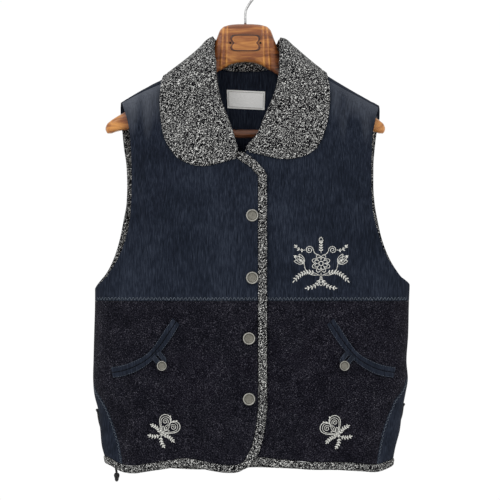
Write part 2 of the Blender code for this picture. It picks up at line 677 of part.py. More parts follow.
def side_insert(side, denim):
    front, back = seam_edge(side, FRONT), seam_edge(side, BACK)
    start = INSERT_ROW + APEX_ROWS
    arches = [spread(edge[start], edge[INSERT_ROW], APEX_SHARES) for edge in (front, back)]
    top = round_side(arches[0], arches[1][-2::-1])
    turns = side_hem(side, INSERT_SHARES)
    bottom = round_side(hem_places(turns, FRONT, HEM_HEIGHT), hem_places(turns[-2::-1], BACK, HEM_HEIGHT))
    near = front[start:]
    far = round_side(near[:1], back[start:])[1:]
    cloth(f"side_insert_{side}", patch(top, bottom, near, far), DENIM_WALL, denim)


def front_band(side, tweed):
    seam = front_seam(side)
    if side == "right":
        edge = ribbon(seen_from_front(seam), BAND_WIDTH)
        edge[0], edge[-1] = RIGHT_BAND_START, RIGHT_BAND_END
        edge = places_of(edge, FRONT)
    else:
        edge = places_of(seen_from_front(seam) - [BAND_WIDTH, 0], FRONT)
    places = np.stack([seam, edge], axis=1)
    lift = BAND_PROUD + (lap(places) if side == "right" else 0.0)
    cloth(f"front_band_{side}", places, BAND_WALL, tweed, lift)


def hem_bands(tweed):
    sides = {}
    for side in ("right", "left"):
        sides[side] = side_hem(side, np.insert(INSERT_SHARES, -1, HEM_SIDE_SHARE))[::-1]
        turns = np.concatenate([sides[side], front_hem(side)[1:]])
        if side == "left":
            turns = np.append(turns, on_cloth(LEFT_BAND_SEAM - BAND_WIDTH, SKIRT["front_z"][-1], FRONT)[0])
        places = np.stack([hem_places(turns, FRONT, HEM_HEIGHT - SEAM_GAP), hem_places(turns, FRONT)])
        lift = BAND_PROUD
        if side == "right":
            mitre = seen_from_front(places[:, -1])
            mitre[1] = RIGHT_BAND_END
            places[:, -1] = places_of(mitre - [MITRE_GAP, 0], FRONT)
            lift = BAND_PROUD + lap(places)
        cloth(f"hem_band_{side}", places, BAND_WALL, tweed, lift)
    turns = np.concatenate([sides["right"], back_hem()[1:-1], sides["left"][::-1]])
    places = np.stack([hem_places(turns, BACK, HEM_HEIGHT - SEAM_GAP), hem_places(turns, BACK)])
    cloth("hem_band_back", places, BAND_WALL, tweed, BAND_PROUD)


def collar(tweed):
    necks = []
    for yoke in (RIGHT_YOKE, LEFT_YOKE):
        line = on_cloth(yoke["neck_x"], yoke["neck_z"], FRONT)[:NECK_ROWS]
        necks.append(np.delete(line, 1, axis=0))
    necks[0][-1] += (necks[0][-2] - necks[0][-1]) * COLLAR_STEP_BACK
    back = on_cloth(BACK_NECK["x"], BACK_NECK["z"], BACK_NECK["face"])
    neck = np.concatenate([necks[0][::-1], back, necks[1]])
    roll = on_cloth(COLLAR["roll_x"], COLLAR["roll_z"], COLLAR["face"])
    edge = on_cloth(COLLAR["edge_x"], COLLAR["edge_z"], COLLAR["face"])
    rows = np.arange(len(roll))
    neck_rows = np.concatenate([rows[:NECK_ROWS - 1], BACK_NECK["collar_row"], rows[1 - NECK_ROWS:]])
    neck = np.stack([np.interp(COLLAR_COLUMNS, neck_rows, neck[:, axis]) for axis in (0, 1)], axis=1)
    roll, edge = (
        np.stack([smooth(rows, line[:, axis], COLLAR_COLUMNS) for axis in (0, 1)], axis=1)
        for line in (roll, edge)
    )
    rise = smooth(rows, COLLAR["rise"], COLLAR_COLUMNS)[None]
    on_right_front = (COLLAR_COLUMNS < NECK_ROWS)[None]

    places = spread(roll[None], edge[None], np.broadcast_to(LEAF_SHARES[:, None], (len(LEAF_SHARES), len(roll))))
    high = (rise - LEAF_LIFT) * (1 - LEAF_SHARES[:, None]) ** LEAF_FALL_OFF
    cloth("collar_leaf", places, TWEED_WALL, tweed, LEAF_LIFT + high + lap(places) * on_right_front)

    places = spread(neck[None], roll[None], np.broadcast_to(STAND_SHARES[:, None], (len(STAND_SHARES), len(roll))))
    high = (rise - TWEED_WALL - 2 * SEAM_GAP) * STAND_SHARES[:, None]
    cloth("collar_stand", places, TWEED_WALL, tweed, high + lap(places) * on_right_front)


def neck_label(satin):
    across, down = np.linspace(0, 1, 5)[None, :, None], np.linspace(0, 1, 3)[:, None, None]
    corners = np.array(LABEL_CORNERS)
    upper = corners[0] + (corners[1] - corners[0]) * across
    lower = corners[3] + (corners[2] - corners[3]) * across
    cloth("neck_label", places_of(upper + (lower - upper) * down, BACK), LABEL_WALL, satin, -DENIM_WALL - SEAM_GAP)


def mirrored(points, side):
    points = np.array(points, dtype=float)
    if side == "left":
        points[..., 0] = 2 * POCKET_MIRROR - points[..., 0]
    return points


def pocket(side, denim, silver):
    upper = mirrored(np.stack([POCKET["upper_x"], POCKET["upper_z"]], axis=1), side)
    lower = mirrored(np.stack([POCKET["lower_x"], POCKET["lower_z"]], axis=1), side)
    middle = (upper + lower) / 2
    for name, edge in (("upper", upper), ("lower", lower)):
        lip = middle + (edge - middle) * (SLIT / 2 / np.linalg.norm(edge - middle, axis=1, keepdims=True))
        places = places_of(np.stack([edge, lip], axis=1), FRONT)
        cloth(f"pocket_welt_{name}_{side}", places, TRIM_WALL, denim, WELT_LIFT)

    bend = np.linspace(math.pi, 2 * math.pi, 7)
    loop = np.stack([TAB_BEND * np.cos(bend), -TAB_LEG + TAB_BEND * np.sin(bend)], axis=1)
    legs = np.array([(-TAB_BEND, 0), (-TAB_BEND, -TAB_LEG / 2)])
    path = np.concatenate([legs, loop, legs[::-1] * [-1, 1]])
    turned = np.array([[math.cos(TAB_LEAN), math.sin(TAB_LEAN)], [-math.sin(TAB_LEAN), math.cos(TAB_LEAN)]])
    strip = np.stack([ribbon(path, share * TAB_STRAP) for share in (-0.5, 0.5)], axis=1) @ turned + TAB_TOP
    cloth(f"pocket_tab_{side}", places_of(mirrored(strip, side), FRONT), TRIM_WALL, denim, TAB_LIFT)
    place = places_of(mirrored([POCKET_BUTTON], side), FRONT)
    button(f"pocket_button_{side}", place, TAB_LIFT + BUTTON_CLEAR, POCKET_BUTTON_RADIUS, silver)


def button(name, place, lift, radius, silver):
    # A disc turned about its own Z, which then points out from the cloth
    profile = bpy.data.meshes.new(name)
    points = [(radius * r, 0, BUTTON_RADIUS * z) for r, z in BUTTON_PROFILE]
    profile.from_pydata(points, [(i, i + 1) for i in range(len(points) - 1)], [])
    part = new_object(name, profile, silver)
    turned = part.modifiers.new("Turned", "SCREW")
    turned.steps = BUTTON_STEPS
    turned.render_steps = BUTTON_STEPS
    turned.use_merge_vertices = True
    turned.merge_threshold = 0.0001
    part.location = raised(place, lift)[0]
    part.rotation_mode = "QUATERNION"
    part.rotation_quaternion = Vector(outward(place[:, 0], place[:, 1])[0]).to_track_quat("Z", "Y")


def tube(name, points, radius, material):
    curve = bpy.data.curves.new(name, "CURVE")
    curve.dimensions = "3D"
    curve.bevel_depth = radius
    curve.bevel_resolution = 2
    curve.use_fill_caps = True
    line = curve.splines.new("POLY")
    line.points.add(len(points) - 1)
    for point, place in zip(line.points, points):
        point.co = (*place, 1)
    return new_object(name, curve, material)


def ball(name, centre, radius, material):
    shape = bmesh.new()
    bmesh.ops.create_uvsphere(shape, u_segments=10, v_segments=6, radius=radius)
    mesh = bpy.data.meshes.new(name)
    shape.to_mesh(mesh)
    shape.free()
    new_object(name, mesh, material).location = centre


def side_cord(side, cotton):
    # Black cord knotted at the side seam, which runs down behind the insert and ends in a knot
    route = SIDE_CORD[side]
    knot_place = on_cloth(route["x"][:1], route["z"][:1] + KNOT_RADIUS + SEAM_GAP, BACK)
    ball(f"cord_knot_{side}", raised(knot_place, KNOT_RADIUS + 2 * SEAM_GAP)[0], KNOT_RADIUS, cotton)
    points = raised(on_cloth(route["x"], route["z"], BACK), CORD_LIFT)
    if side == "right":
        points[-2:, 1] = points[-3, 1]
    run = progress(points[:, 2])
    at = np.linspace(0, 1, CORD_POINTS)
    points = np.stack([smooth(run, points[:, axis], at) for axis in range(3)], axis=1)
    tube(f"side_cord_{side}", points, CORD_RADIUS, cotton)
    radius = END_KNOT_RADIUS if side == "right" else KNOT_RADIUS
    ball(f"cord_end_{side}", points[-1] - [0, 0, radius + SEAM_GAP], radius, cotton)


def hanger_body(wood):
    # A loft of squared ovals from tip to tip
    angle = np.arange(ARM_SIDES) * 2 * math.pi / ARM_SIDES
    reach = np.concatenate([-ARM["x"][:0:-1], ARM["x"]])
    top, bottom, depth = (smooth(ARM["x"], ARM[column], np.abs(reach)) for column in ("top", "bottom", "half_depth"))
    swing = np.sign(np.cos(angle)) * np.abs(np.cos(angle)) ** ARM_SQUARENESS
    rise = np.sign(np.sin(angle)) * np.abs(np.sin(angle)) ** ARM_SQUARENESS
    y = depth[:, None] * swing
    z = (top + bottom)[:, None] / 2 + (top - bottom)[:, None] / 2 * rise
    points = np.stack([np.broadcast_to(reach[:, None], y.shape), y, z], axis=-1)
    shape = bmesh.new()
    rings = [[shape.verts.new(point) for point in ring] for ring in points]
    for ring, following in zip(rings, rings[1:]):
        for i in range(ARM_SIDES):
            j = (i + 1) % ARM_SIDES
            shape.faces.new((ring[i], ring[j], following[j], following[i]))
    shape.faces.new(rings[0][::-1])
    shape.faces.new(rings[-1])
    bmesh.ops.recalc_face_normals(shape, faces=shape.faces)
    mesh = bpy.data.meshes.new("hanger_body")
    shape.to_mesh(mesh)
    shape.free()
    new_object("hanger_body", mesh, wood)


def plate_outline():
    # A rounded rectangle with a round notch in each end, one quarter turned to the other three
    corner = np.linspace(QUARTER, 0, 5)
    notch = np.linspace(QUARTER, 0, 4)
    x = PLATE_HALF_WIDTH - PLATE_CORNER + PLATE_CORNER * np.cos(corner)
    z = PLATE_HALF_HEIGHT - PLATE_CORNER + PLATE_CORNER * np.sin(corner)
    x = np.concatenate([x, PLATE_HALF_WIDTH - PLATE_NOTCH * np.cos(notch)])
    z = np.concatenate([z, PLATE_NOTCH * np.sin(notch)])
    right_x, right_z = np.concatenate([x, x[-2::-1]]), np.concatenate([z, -z[-2::-1]])
    return np.concatenate([right_x, -right_x]), np.concatenate([right_z, -right_z])


def hanger_plate(wood, steel):
    curve = bpy.data.curves.new("hanger_plate", "CURVE")
    curve.dimensions = "2D"
    curve.fill_mode = "BOTH"
    curve.extrude = PLATE_WALL / 2
    x, z = plate_outline()
    line = curve.splines.new("POLY")
    line.points.add(len(x) - 1)
    for point, across, up in zip(line.points, x, z):
        point.co = (across, up, 0, 1)
    line.use_cyclic_u = True
    plate = new_object("hanger_plate", curve, wood)
    face = -ARM["half_depth"][0] - SEAM_GAP
    plate.location = (0, face - PLATE_WALL / 2, PLATE_HEIGHT)
    plate.rotation_euler = (QUARTER, 0, 0)
    for side, x in (("right", -PLATE_HALF_WIDTH), ("left", PLATE_HALF_WIDTH)):
        cylinder(f"hanger_screw_{side}", SCREW_RADIUS, SCREW_HEAD, (x, face - SCREW_HEAD / 2, PLATE_HEIGHT), steel)
        bpy.data.objects[f"hanger_screw_{side}"].rotation_euler = (QUARTER, 0, 0)


def cylinder(name, radius, length, centre, material):
    shape = bmesh.new()
    bmesh.ops.create_cone(shape, cap_ends=True, segments=16, radius1=radius, radius2=radius, depth=length)
    mesh = bpy.data.meshes.new(name)
    shape.to_mesh(mesh)
    shape.free()
    part = new_object(name, mesh, material)
    mesh.set_sharp_from_angle(angle=math.radians(40))
    part.location = centre
    return part


def hanger_hook(steel):
    turn = np.radians(np.linspace(HOOK_START, HOOK_END, 22))
    centre = -HOOK_RADIUS + HOOK_WIRE
    arc = np.stack([HOOK_RADIUS * np.cos(turn), np.zeros_like(turn), centre + HOOK_RADIUS * np.sin(turn)], axis=1)
    stem = [(x, 0, z) for x, z in HOOK_STEM]
    tube("hanger_hook", np.concatenate([stem, arc]), HOOK_WIRE, steel)


def build():
    denim = new_material("Navy denim", (0.020, 0.026, 0.040), 0.9)
    wool = new_material("Boucle wool", (0.010, 0.009, 0.014), 0.95)
    tweed = new_material("Salt and pepper tweed", (0.16, 0.16, 0.16), 0.95)
    satin = new_material("White satin", (0.75, 0.75, 0.72), 0.4)
    silver = new_material("Antique silver", (0.42, 0.41, 0.36), 0.35, 1.0)
    cotton = new_material("Black cotton cord", (0.008, 0.008, 0.008), 0.8)
    wood = new_material("Varnished wood", (0.38, 0.14, 0.045), 0.25)
    steel = new_material("Bright steel", (0.62, 0.62, 0.62), 0.2, 1.0)

    for side in ("right", "left"):
        front_panels(side, denim, wool)
        side_insert(side, denim)
        pocket(side, denim, silver)
        side_cord(side, cotton)
    back_panels(denim, wool, tweed)
    front_band("right", tweed)
    front_band("left", tweed)
    hem_bands(tweed)
    collar(tweed)
    neck_label(satin)
    for number, (x, z) in enumerate(FRONT_BUTTONS, start=1):
        button(f"front_button_{number}", on_cloth([x], [z], FRONT), LAP_RISE + BUTTON_CLEAR, BUTTON_RADIUS, silver)

    hanger_body(wood)
    hanger_plate(wood, steel)
    bar = cylinder("hanger_bar", BAR_RADIUS, 2 * BAR_HALF_LENGTH, (0, 0, BAR_HEIGHT), wood)
    bar.rotation_euler = (0, QUARTER, 0)
    hanger_hook(steel)


for leftover in list(bpy.data.objects):
    bpy.data.objects.remove(leftover)
vest = bpy.data.collections.new("Folk vest on a hanger")
bpy.context.scene.collection.children.link(vest)
build()
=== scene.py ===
# Looks of the folk vest on a wooden hanger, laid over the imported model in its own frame.
# Metres, +Z up. The front faces -Y and the wearer's left is +X.

import math

import bpy
import numpy as np
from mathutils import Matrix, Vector


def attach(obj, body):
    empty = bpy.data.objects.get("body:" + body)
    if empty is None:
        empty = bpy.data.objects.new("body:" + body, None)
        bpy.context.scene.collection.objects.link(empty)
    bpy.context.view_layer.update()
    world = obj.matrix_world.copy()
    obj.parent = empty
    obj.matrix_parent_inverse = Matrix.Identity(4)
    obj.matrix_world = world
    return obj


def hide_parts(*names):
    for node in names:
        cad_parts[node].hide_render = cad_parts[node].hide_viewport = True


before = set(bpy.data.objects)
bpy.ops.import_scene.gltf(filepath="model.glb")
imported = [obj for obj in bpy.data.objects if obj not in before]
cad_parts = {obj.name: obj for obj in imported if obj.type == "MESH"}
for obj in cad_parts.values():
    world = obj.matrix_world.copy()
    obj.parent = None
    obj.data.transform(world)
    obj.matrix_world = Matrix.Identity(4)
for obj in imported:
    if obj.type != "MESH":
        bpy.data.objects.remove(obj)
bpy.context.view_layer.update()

faceFront = 1
faceBack = -1
bothSides = ("right", "left")
quarter = math.pi / 2

# Walls of each kind of cloth, and how far sewn pieces lie apart
walls = {
    "denim": 0.0020, "wool": 0.0024, "tweed": 0.0026, "band": 0.0030, "trim": 0.0016, "label": 0.0010,
    "facing": 0.0012,
}
seamGap = 0.0003
bandProud = 0.0005

# Body form: radius over the hanger's arms, how flat the front and back are, the lap of the fronts, and the
# small steps that measure a slope
ridgeRound = 0.022
flatness = 0.5
lapRise = 0.0046
lapStart = -0.052
lapFull = -0.022
turnStep = 1e-4
fallStep = 1e-5

# Seam below the bust, centre front seams of the two bands, and the height of the hem binding
yokeSeam = -0.523
leftBandSeam = 0.000
bandWidth = 0.0140
hemHeight = 0.0125
rightBandStart = (-0.0115, -0.2855)
rightBandEnd = (0.0050, -0.7865)
mitreGap = 0.0008


def table(names, rows):
    # Named columns of rows in millimetres, told in metres to the nearest micrometre. A face, 1 in front and
    # -1 behind, and a collar row are plain numbers.
    columns = dict(zip(names.split(), np.array(rows).T))
    plain = ("face", "collarRow")
    return {name: column if name in plain else np.round(column / 1000, 6) for name, column in columns.items()}


# The body's outline and depth at each height, hem first
bodyRows = table("height right left front back", [
    (-800, -221, 233, 54, 40), (-774, -224.5, 237, 54, 40), (-758, -229, 240, 53, 39),
    (-731, -232, 247, 53, 39), (-699, -235, 251, 52, 38), (-673, -241.5, 256, 52, 38),
    (-650, -243.5, 260, 51, 38), (-620, -243, 258, 50, 37), (-580, -242, 260.5, 50, 37),
    (-523, -240.5, 262, 48, 36), (-500, -240.5, 263, 47, 35), (-400, -240.5, 263, 43, 34),
    (-300, -240.5, 263, 36, 30), (-200, -240.5, 263, 29, 27), (-100, -240.5, 263, 27, 26),
])
shoulderMiddle = (bodyRows["left"][-1] + bodyRows["right"][-1]) / 2
shoulderHalf = (bodyRows["left"][-1] - bodyRows["right"][-1]) / 2

# The ridge over the hanger's arms, also where it is only thought on across the neck
ridgeRows = table("x height", [
    (-250, -234), (-193, -202), (-135, -170), (-62, -130), (-30, -110), (0, -100), (30, -107), (66, -127),
    (133, -165), (201, -204), (250, -232),
])

# Soft folds: which face, the line that each follows, its width, and its rise or hollow
foldRows = table("face topX topZ lowX lowZ width rise", [
    (1, -162, -230, -152, -500, 17, 4), (1, -128, -290, -122, -530, 18, -3),
    (1, 182, -230, 170, -480, 17, 3.5), (1, 150, -300, 146, -540, 18, -3),
    (1, -178, -580, -184, -900, 22, 5), (1, -92, -650, -96, -900, 26, -5),
    (1, -50, -600, -48, -900, 18, 3.5), (1, 62, -640, 54, -900, 26, -4), (1, 118, -620, 126, -900, 24, 4.5),
    (1, 205, -600, 196, -900, 18, 4), (-1, -120, -240, -134, -520, 22, 4),
    (-1, 132, -250, 140, -500, 20, 4), (-1, 4, -300, 12, -900, 30, -4),
    (-1, -104, -560, -116, -900, 30, 5.5), (-1, 92, -580, 106, -900, 28, 5),
    (-1, -180, -620, -172, -900, 22, -3),
])
foldFade = 0.070

# Creases of the yokes and skirts, told as the folds are
creaseRows = table("face topX topZ lowX lowZ width rise", [
    (1, -170, -260, -163, -520, 6.5, -2.2), (1, -150, -330, -156, -520, 8, 1.2),
    (1, 168, -280, 176, -520, 6.5, -2), (1, 186, -330, 190, -500, 8, 1.2),
    (1, -196, -600, -190, -790, 9, -1.8), (1, -70, -640, -78, -800, 11, -1.6),
    (1, 94, -650, 100, -800, 10, -1.6), (1, 212, -600, 204, -790, 9, -1.8),
    (-1, -148, -290, -158, -520, 8, -2), (-1, 166, -280, 160, -520, 8, -2),
    (-1, -60, -580, -70, -800, 11, -2), (-1, 52, -600, 66, -800, 11, -1.8),
])
creaseFade = 0.05
creaseWobble = 0.004
wobbleLength = 0.021

# Hem line of the front and the back
hemRows = table("x front back", [
    (-240, -777, -777), (-223, -782.5, -782.5), (-215, -785.5, -784.5), (-200, -793.5, -787),
    (-179, -796.5, -789), (-157, -793.5, -791), (-127, -789, -793), (-93, -784.5, -795),
    (-50, -792.5, -795), (-29, -795, -794), (-8, -792.5, -793), (3, -786, -792), (56, -786.5, -793),
    (99, -790, -795), (141, -790.5, -794), (184, -793, -791.5), (216, -794, -789.5), (236, -786.6, -786.6),
    (255, -779, -779),
])

# Front yokes, a row for each section from the shoulder seam down: armhole side, then neck and front edge
yokeRows = {
    "right": table("armholeX armholeZ neckX neckZ", [
        (-197, -206.3, -62, -142), (-197, -206.7, -62, -142.6), (-196, -210.5, -62.5, -147.5),
        (-193, -219, -63, -156), (-188, -235, -63, -170), (-184, -260, -58, -198),
        (-181.5, -299, -47, -234), (-181, -337, -29, -267), (-182, -376, -12, -297), (-186, -405, 10, -313),
        (-196, -440, 20.5, -327), (-210, -467, 20.5, -370), (-225, -488, 20.5, -420),
        (-240.2, -503, 20.5, -465), (-250, -505, 20.5, -490), (-250, -523, 20.5, -523),
    ]),
    "left": table("armholeX armholeZ neckX neckZ", [
        (213, -213, 68, -139), (213, -213.5, 68, -139.6), (212.5, -217, 68.5, -146),
        (210.5, -223, 69.5, -156), (207, -238, 69, -171), (203, -260, 65, -198), (201.2, -299, 54, -232),
        (201, -337, 34, -264), (202, -370, 0, -286), (206, -395, 0, -310), (215, -425, 0, -340),
        (226, -453, 0, -375), (243, -478, 0, -420), (262.7, -497, 0, -465), (280, -499, 0, -490),
        (280, -523, 0, -523),
    ]),
}
neckRows = 9

# Back armholes, a row for each section from the shoulder seam in front, over the ridge and down
backArmholeRows = table("rightX rightZ leftX leftZ face", [
    (-197, -206.3, 213, -213, 1), (-197, -206, 213, -212.7, 1), (-198.5, -205, 213.5, -211.2, 1),
    (-199.5, -206, 214, -211.7, -1), (-200, -209.5, 215, -215, -1), (-200.5, -215, 215.5, -221, -1),
    (-200.5, -223, 215.5, -229, -1), (-200, -234, 214.5, -240, -1), (-198, -250, 211, -254, -1),
    (-195, -279, 208, -279, -1), (-191, -308, 206, -308, -1), (-190, -337, 206, -337, -1),
    (-191, -366, 208, -366, -1), (-196, -395, 213, -395, -1), (-202, -425, 220, -425, -1),
    (-211, -454, 231, -454, -1), (-224, -480, 245, -478, -1), (-240.2, -503, 262.7, -497, -1),
    (-250, -505, 280, -499, -1), (-250, -523, 280, -523, -1),
])
backShoulderTurn = math.radians(48)
backNeckTurn = math.radians(36)

# Skirts below the yoke seam, a row for each section: side or insert seam on each side, and right front edge
skirtRows = table("rightX rightZ leftX leftZ frontX frontZ", [
    (-260, -523, 280, -523, 20.5, -523), (-260, -560, 280, -555, 20.5, -555),
    (-260, -600, 280, -590, 20.5, -590), (-260, -628, 280, -618, 20.5, -625),
    (-260, -650, 280, -640, 20.5, -643), (-243.2, -651.8, 259.6, -641.8, 20.5, -648),
    (-241, -658, 256.5, -648, 20.5, -656), (-237.2, -666.5, 253.5, -656.5, 20.5, -668),
    (-230.5, -676.5, 248, -666.5, 20.5, -682), (-222.5, -690, 238, -680, 20, -696),
    (-215.5, -705, 231, -696, 18.5, -710), (-209.5, -722, 224, -714, 16.5, -724),
    (-204.5, -738, 218, -734, 14, -738), (-200, -754, 214, -754, 10, -754),
    (-196, -780.6, 209, -781, -2, -775.5),
])
insertRow = 4
apexRows = 2

# Back neckline, a row for each section from the wearer's right. A height of zero stands for the ridge.
backNeckRows = table("collarRow x z face", [
    (7.5, -61.8, -136.5, 1), (8, -61.5, -132, 1), (9, -61.2, 0, -1), (9.5, -60, -132, -1),
    (10, -58, -137.5, -1), (11, -51, -144.5, -1), (12, -36, -153, -1), (13, -18, -155.5, -1),
    (14, 0, -156, -1), (15, 19, -155.5, -1), (16, 38, -152.5, -1), (17, 55, -143, -1), (18, 63.5, -135, -1),
    (18.5, 65.2, -130, -1), (19, 66.5, 0, -1), (20, 67.2, -130, 1), (20.5, 67.7, -134, 1),
])

# Collar, a row for each section from the right front end round the neck: the roll line and the outer edge
collarRows = table("rollX rollZ rise edgeX edgeZ face", [
    (-13, -280, 6.5, -15, -297.5, 1), (-19, -256, 8, -45, -304.5, 1), (-30, -227, 10, -79, -307.5, 1),
    (-40, -202, 12, -110, -293, 1), (-44.5, -178, 14, -129, -263, 1), (-46.5, -156, 16, -135.5, -228, 1),
    (-46.5, -140, 18, -136.5, -202, 1), (-45.5, -130.5, 19.5, -135, -184, 1),
    (-43, -121.5, 21, -133, -173, 1), (-41, 0, 22, -131, 0, 1), (-40, -119.5, 19, -128, -178, -1),
    (-36, -124, 15, -118, -192, -1), (-26, -124, 11, -88, -200, -1), (-13, -121, 8.5, -45, -203, -1),
    (0, -120, 8, 0, -204, -1), (13.5, -121, 8.5, 45, -203, -1), (28, -124, 11, 90, -199, -1),
    (40, -123, 15, 120, -190, -1), (46, -118.5, 19, 127, -174, -1), (47.5, 0, 22, 128.5, 0, 1),
    (50, -121.5, 21, 131, -170, 1), (52, -130.5, 19.5, 133.5, -180, 1), (53.5, -140, 18, 135, -196, 1),
    (54, -155, 16, 134, -218, 1), (51.5, -176, 14, 129, -246, 1), (43.5, -201, 12, 113, -280, 1),
    (31, -229, 10, 82, -295.5, 1), (18.5, -258, 8, 42, -294.5, 1), (3, -276, 6, 6, -287, 1),
])

# Right pocket, a row for each section from the side: upper and lower edges of its two welts
pocketRows = table("upperX upperZ lowerX lowerZ", [
    (-213, -628.5, -209.5, -645), (-192, -624, -192, -642), (-173, -616.5, -172, -634.5),
    (-154.5, -605, -151, -620.5), (-140.5, -588, -131, -600), (-127, -567, -116, -580),
    (-115, -550, -104, -560),
])
pocketMirror = 0.0125

# Side cords, down the back of the inserts. The right one hangs free below the hem.
sideCordRows = {
    "right": table("x z", [
        (-233.5, -701), (-231.5, -715), (-226, -735), (-219, -754), (-213, -770), (-208, -786),
        (-205.8, -796), (-205.2, -803.6),
    ]),
    "left": table("x z", [
        (250, -692), (248, -705), (243, -722), (237, -738), (232, -752), (230, -760),
    ]),
}

# Hanger sections from the middle out to the tip
armRows = table("x top bottom halfDepth", [
    (0, -80.3, -140.8, 17), (14, -80.6, -142.5, 17), (26, -82.5, -147.5, 17), (33.5, -86, -152.5, 17),
    (38, -92, -155, 16.8), (40.5, -99, -156.5, 16.5), (43.5, -108, -159, 16), (48, -119.5, -162, 15),
    (56, -133, -168, 14), (66, -140.5, -173.5, 14), (80, -144.8, -181.5, 13.5), (110, -160, -197, 13.5),
    (140, -176.6, -214, 14), (156, -187, -229, 15.5), (168, -197.5, -247, 16), (178, -208, -248.5, 16),
    (190, -219, -249, 15), (206.5, -229, -252.5, 14), (216.5, -236, -255.2, 11.5),
    (221.8, -241.5, -253.5, 7), (223.5, -245.5, -250, 3),
])


def bell(t):
    # A bell curve: e to the power of minus t squared
    return np.exp(-(t**2))


def eased(t):
    # From 0 to 1 with level ends: three t squared less two t cubed
    t = np.clip(t, 0, 1)
    return t * t * (3 - 2 * t)


def rising(values, start, run):
    # An eased step up from zero to one that begins at start and takes the run. With a run below zero it goes
    # down.
    return eased((values - start) / run)


def squared(t, power):
    # A sine or cosine raised to a power with its sign kept, which squares off a circle
    return np.sign(t) * np.abs(t) ** power


def cubic(knots, values, slopes, at):
    # The cubic between two knots that has the given value and slope at each
    i = np.clip(np.searchsorted(knots, at, side="right") - 1, 0, len(knots) - 2)
    step = knots[i + 1] - knots[i]
    t = (at - knots[i]) / step
    start = (2 * t**3 - 3 * t**2 + 1) * values[i] + (t**3 - 2 * t**2 + t) * step * slopes[i]
    return start + (3 * t**2 - 2 * t**3) * values[i + 1] + (t**3 - t**2) * step * slopes[i + 1]


def smooth(knots, values, at):
    # A cubic through the knots whose slope at each one comes from its neighbours
    return cubic(knots, values, np.gradient(values, knots), np.clip(at, knots[0], knots[-1]))


def steady(knots, values, at):
    # A cubic through the knots that never passes beyond them: a knot's slope is the harmonic mean of the
    # slopes beside it, or nothing where those differ in sign
    steps = np.diff(values) / np.diff(knots)
    slopes = np.concatenate([steps[:1], np.zeros(len(knots) - 2), steps[-1:]])
    before, after = steps[:-1], steps[1:]
    same = before * after > 0
    slopes[1:-1][same] = 2 * before[same] * after[same] / (before[same] + after[same])
    return cubic(knots, values, slopes, at)


def straight(knots, values, at):
    # Straight lines between the knots
    return np.interp(at, knots, values)


def told(way, knots, line, at):
    # A line of points told again at other stops, each coordinate by the same way between the knots
    return np.stack([way(knots, line[:, axis], at) for axis in range(line.shape[1])], axis=1)


def lengths(points):
    # How far along a line each of its points lies: the sum of the steps up to it
    return np.concatenate([[0], np.cumsum(np.linalg.norm(np.diff(points, axis=0), axis=1))])


def progress(values):
    # The same for one coordinate, as a share of the whole
    run = np.concatenate([[0], np.cumsum(np.abs(np.diff(values)))])
    return run / run[-1]


def spread(start, end, shares):
    # Points between two ends, or rows of them between two lines, at some shares of the way
    return start + (end - start) * np.asarray(shares)[..., None]


def bodyAt(column, z):
    # One column of the body's table at each height
    return smooth(bodyRows["height"], bodyRows[column], z)


def middleAndHalf(z):
    # The body's middle line and half width at each height
    return (bodyAt("left", z) + bodyAt("right", z)) / 2, (bodyAt("left", z) - bodyAt("right", z)) / 2


def ridgeAt(turn):
    # Height of the ridge at each turn round the body: the ridge's x goes with the turn's sine
    return smooth(ridgeRows["x"], ridgeRows["height"], shoulderMiddle + shoulderHalf * np.sin(turn))


def rises(rows, fadeRun, wobble, x, z, front):
    # Folds or creases: bell curves across each line of a table, faded in and out along it, and added up
    total = np.zeros_like(x)
    for face, topX, topZ, lowX, lowZ, width, rise in zip(*rows.values()):
        share = np.clip((topZ - z) / (topZ - lowZ), 0, 1)
        across = (x - topX - (lowX - topX) * share + wobble * np.sin(z / wobbleLength)) / width
        fade = rising(z, topZ, -fadeRun) * rising(z, lowZ, fadeRun)
        total += (front == (face == faceFront)) * rise * fade * bell(across)
    return total


def surface(places):
    # A place is a turn round the body from its middle line and a fall down it from the ridge, forwards above
    # zero and backwards below. A turn past a quarter comes round on to the other face. x goes with the turn's
    # sine, y with its cosine times the depth and the folds, and z bends over the ridge on a circle and then
    # runs straight down.
    turn, fall = places[..., 0], places[..., 1]
    front = (fall >= 0) == (np.cos(turn) >= 0)
    bend = np.minimum(np.abs(fall) / ridgeRound, quarter)
    z = ridgeAt(turn) - ridgeRound * (1 - np.cos(bend)) - np.maximum(np.abs(fall) - ridgeRound * quarter, 0)
    middle, half = middleAndHalf(z)
    x = middle + half * np.sin(turn)
    depth = np.where(front, bodyAt("front", z), bodyAt("back", z)) * (1 + flatness * np.sin(turn) ** 2)
    y = (depth + rises(foldRows, foldFade, 0, x, z, front)) * np.abs(np.cos(turn)) * np.sin(bend)
    return np.stack([x, np.where(front, -y, y), z], axis=-1)


def outward(places):
    # The cloth's normal: the cross product of a small step down it and a small step round it
    steps = np.array([[0, fallStep], [turnStep, 0]])
    down, around = (surface(places + step) - surface(places - step) for step in steps)
    normal = np.cross(down, around)
    return normal / np.linalg.norm(normal, axis=-1, keepdims=True)


def raised(places, lift):
    # The points over some places on the cloth, moved out along its normal
    return surface(places) + outward(places) * np.broadcast_to(lift, places.shape[:-1])[..., None]


def onCloth(x, z, face):
    # The place whose point has this x and z on the front or the back: the surface's formula solved backwards
    x, z = np.asarray(x, dtype=float), np.asarray(z, dtype=float)
    middle, half = middleAndHalf(z)
    turn = np.arcsin(np.clip((x - middle) / half, -1, 1))
    drop = np.maximum(ridgeAt(turn) - z, 0)
    curved = ridgeRound * np.arccos(1 - np.minimum(drop / ridgeRound, 1))
    fall = np.where(drop < ridgeRound, curved, ridgeRound * quarter + drop - ridgeRound)
    return np.stack([turn, fall * np.asarray(face)], axis=-1)


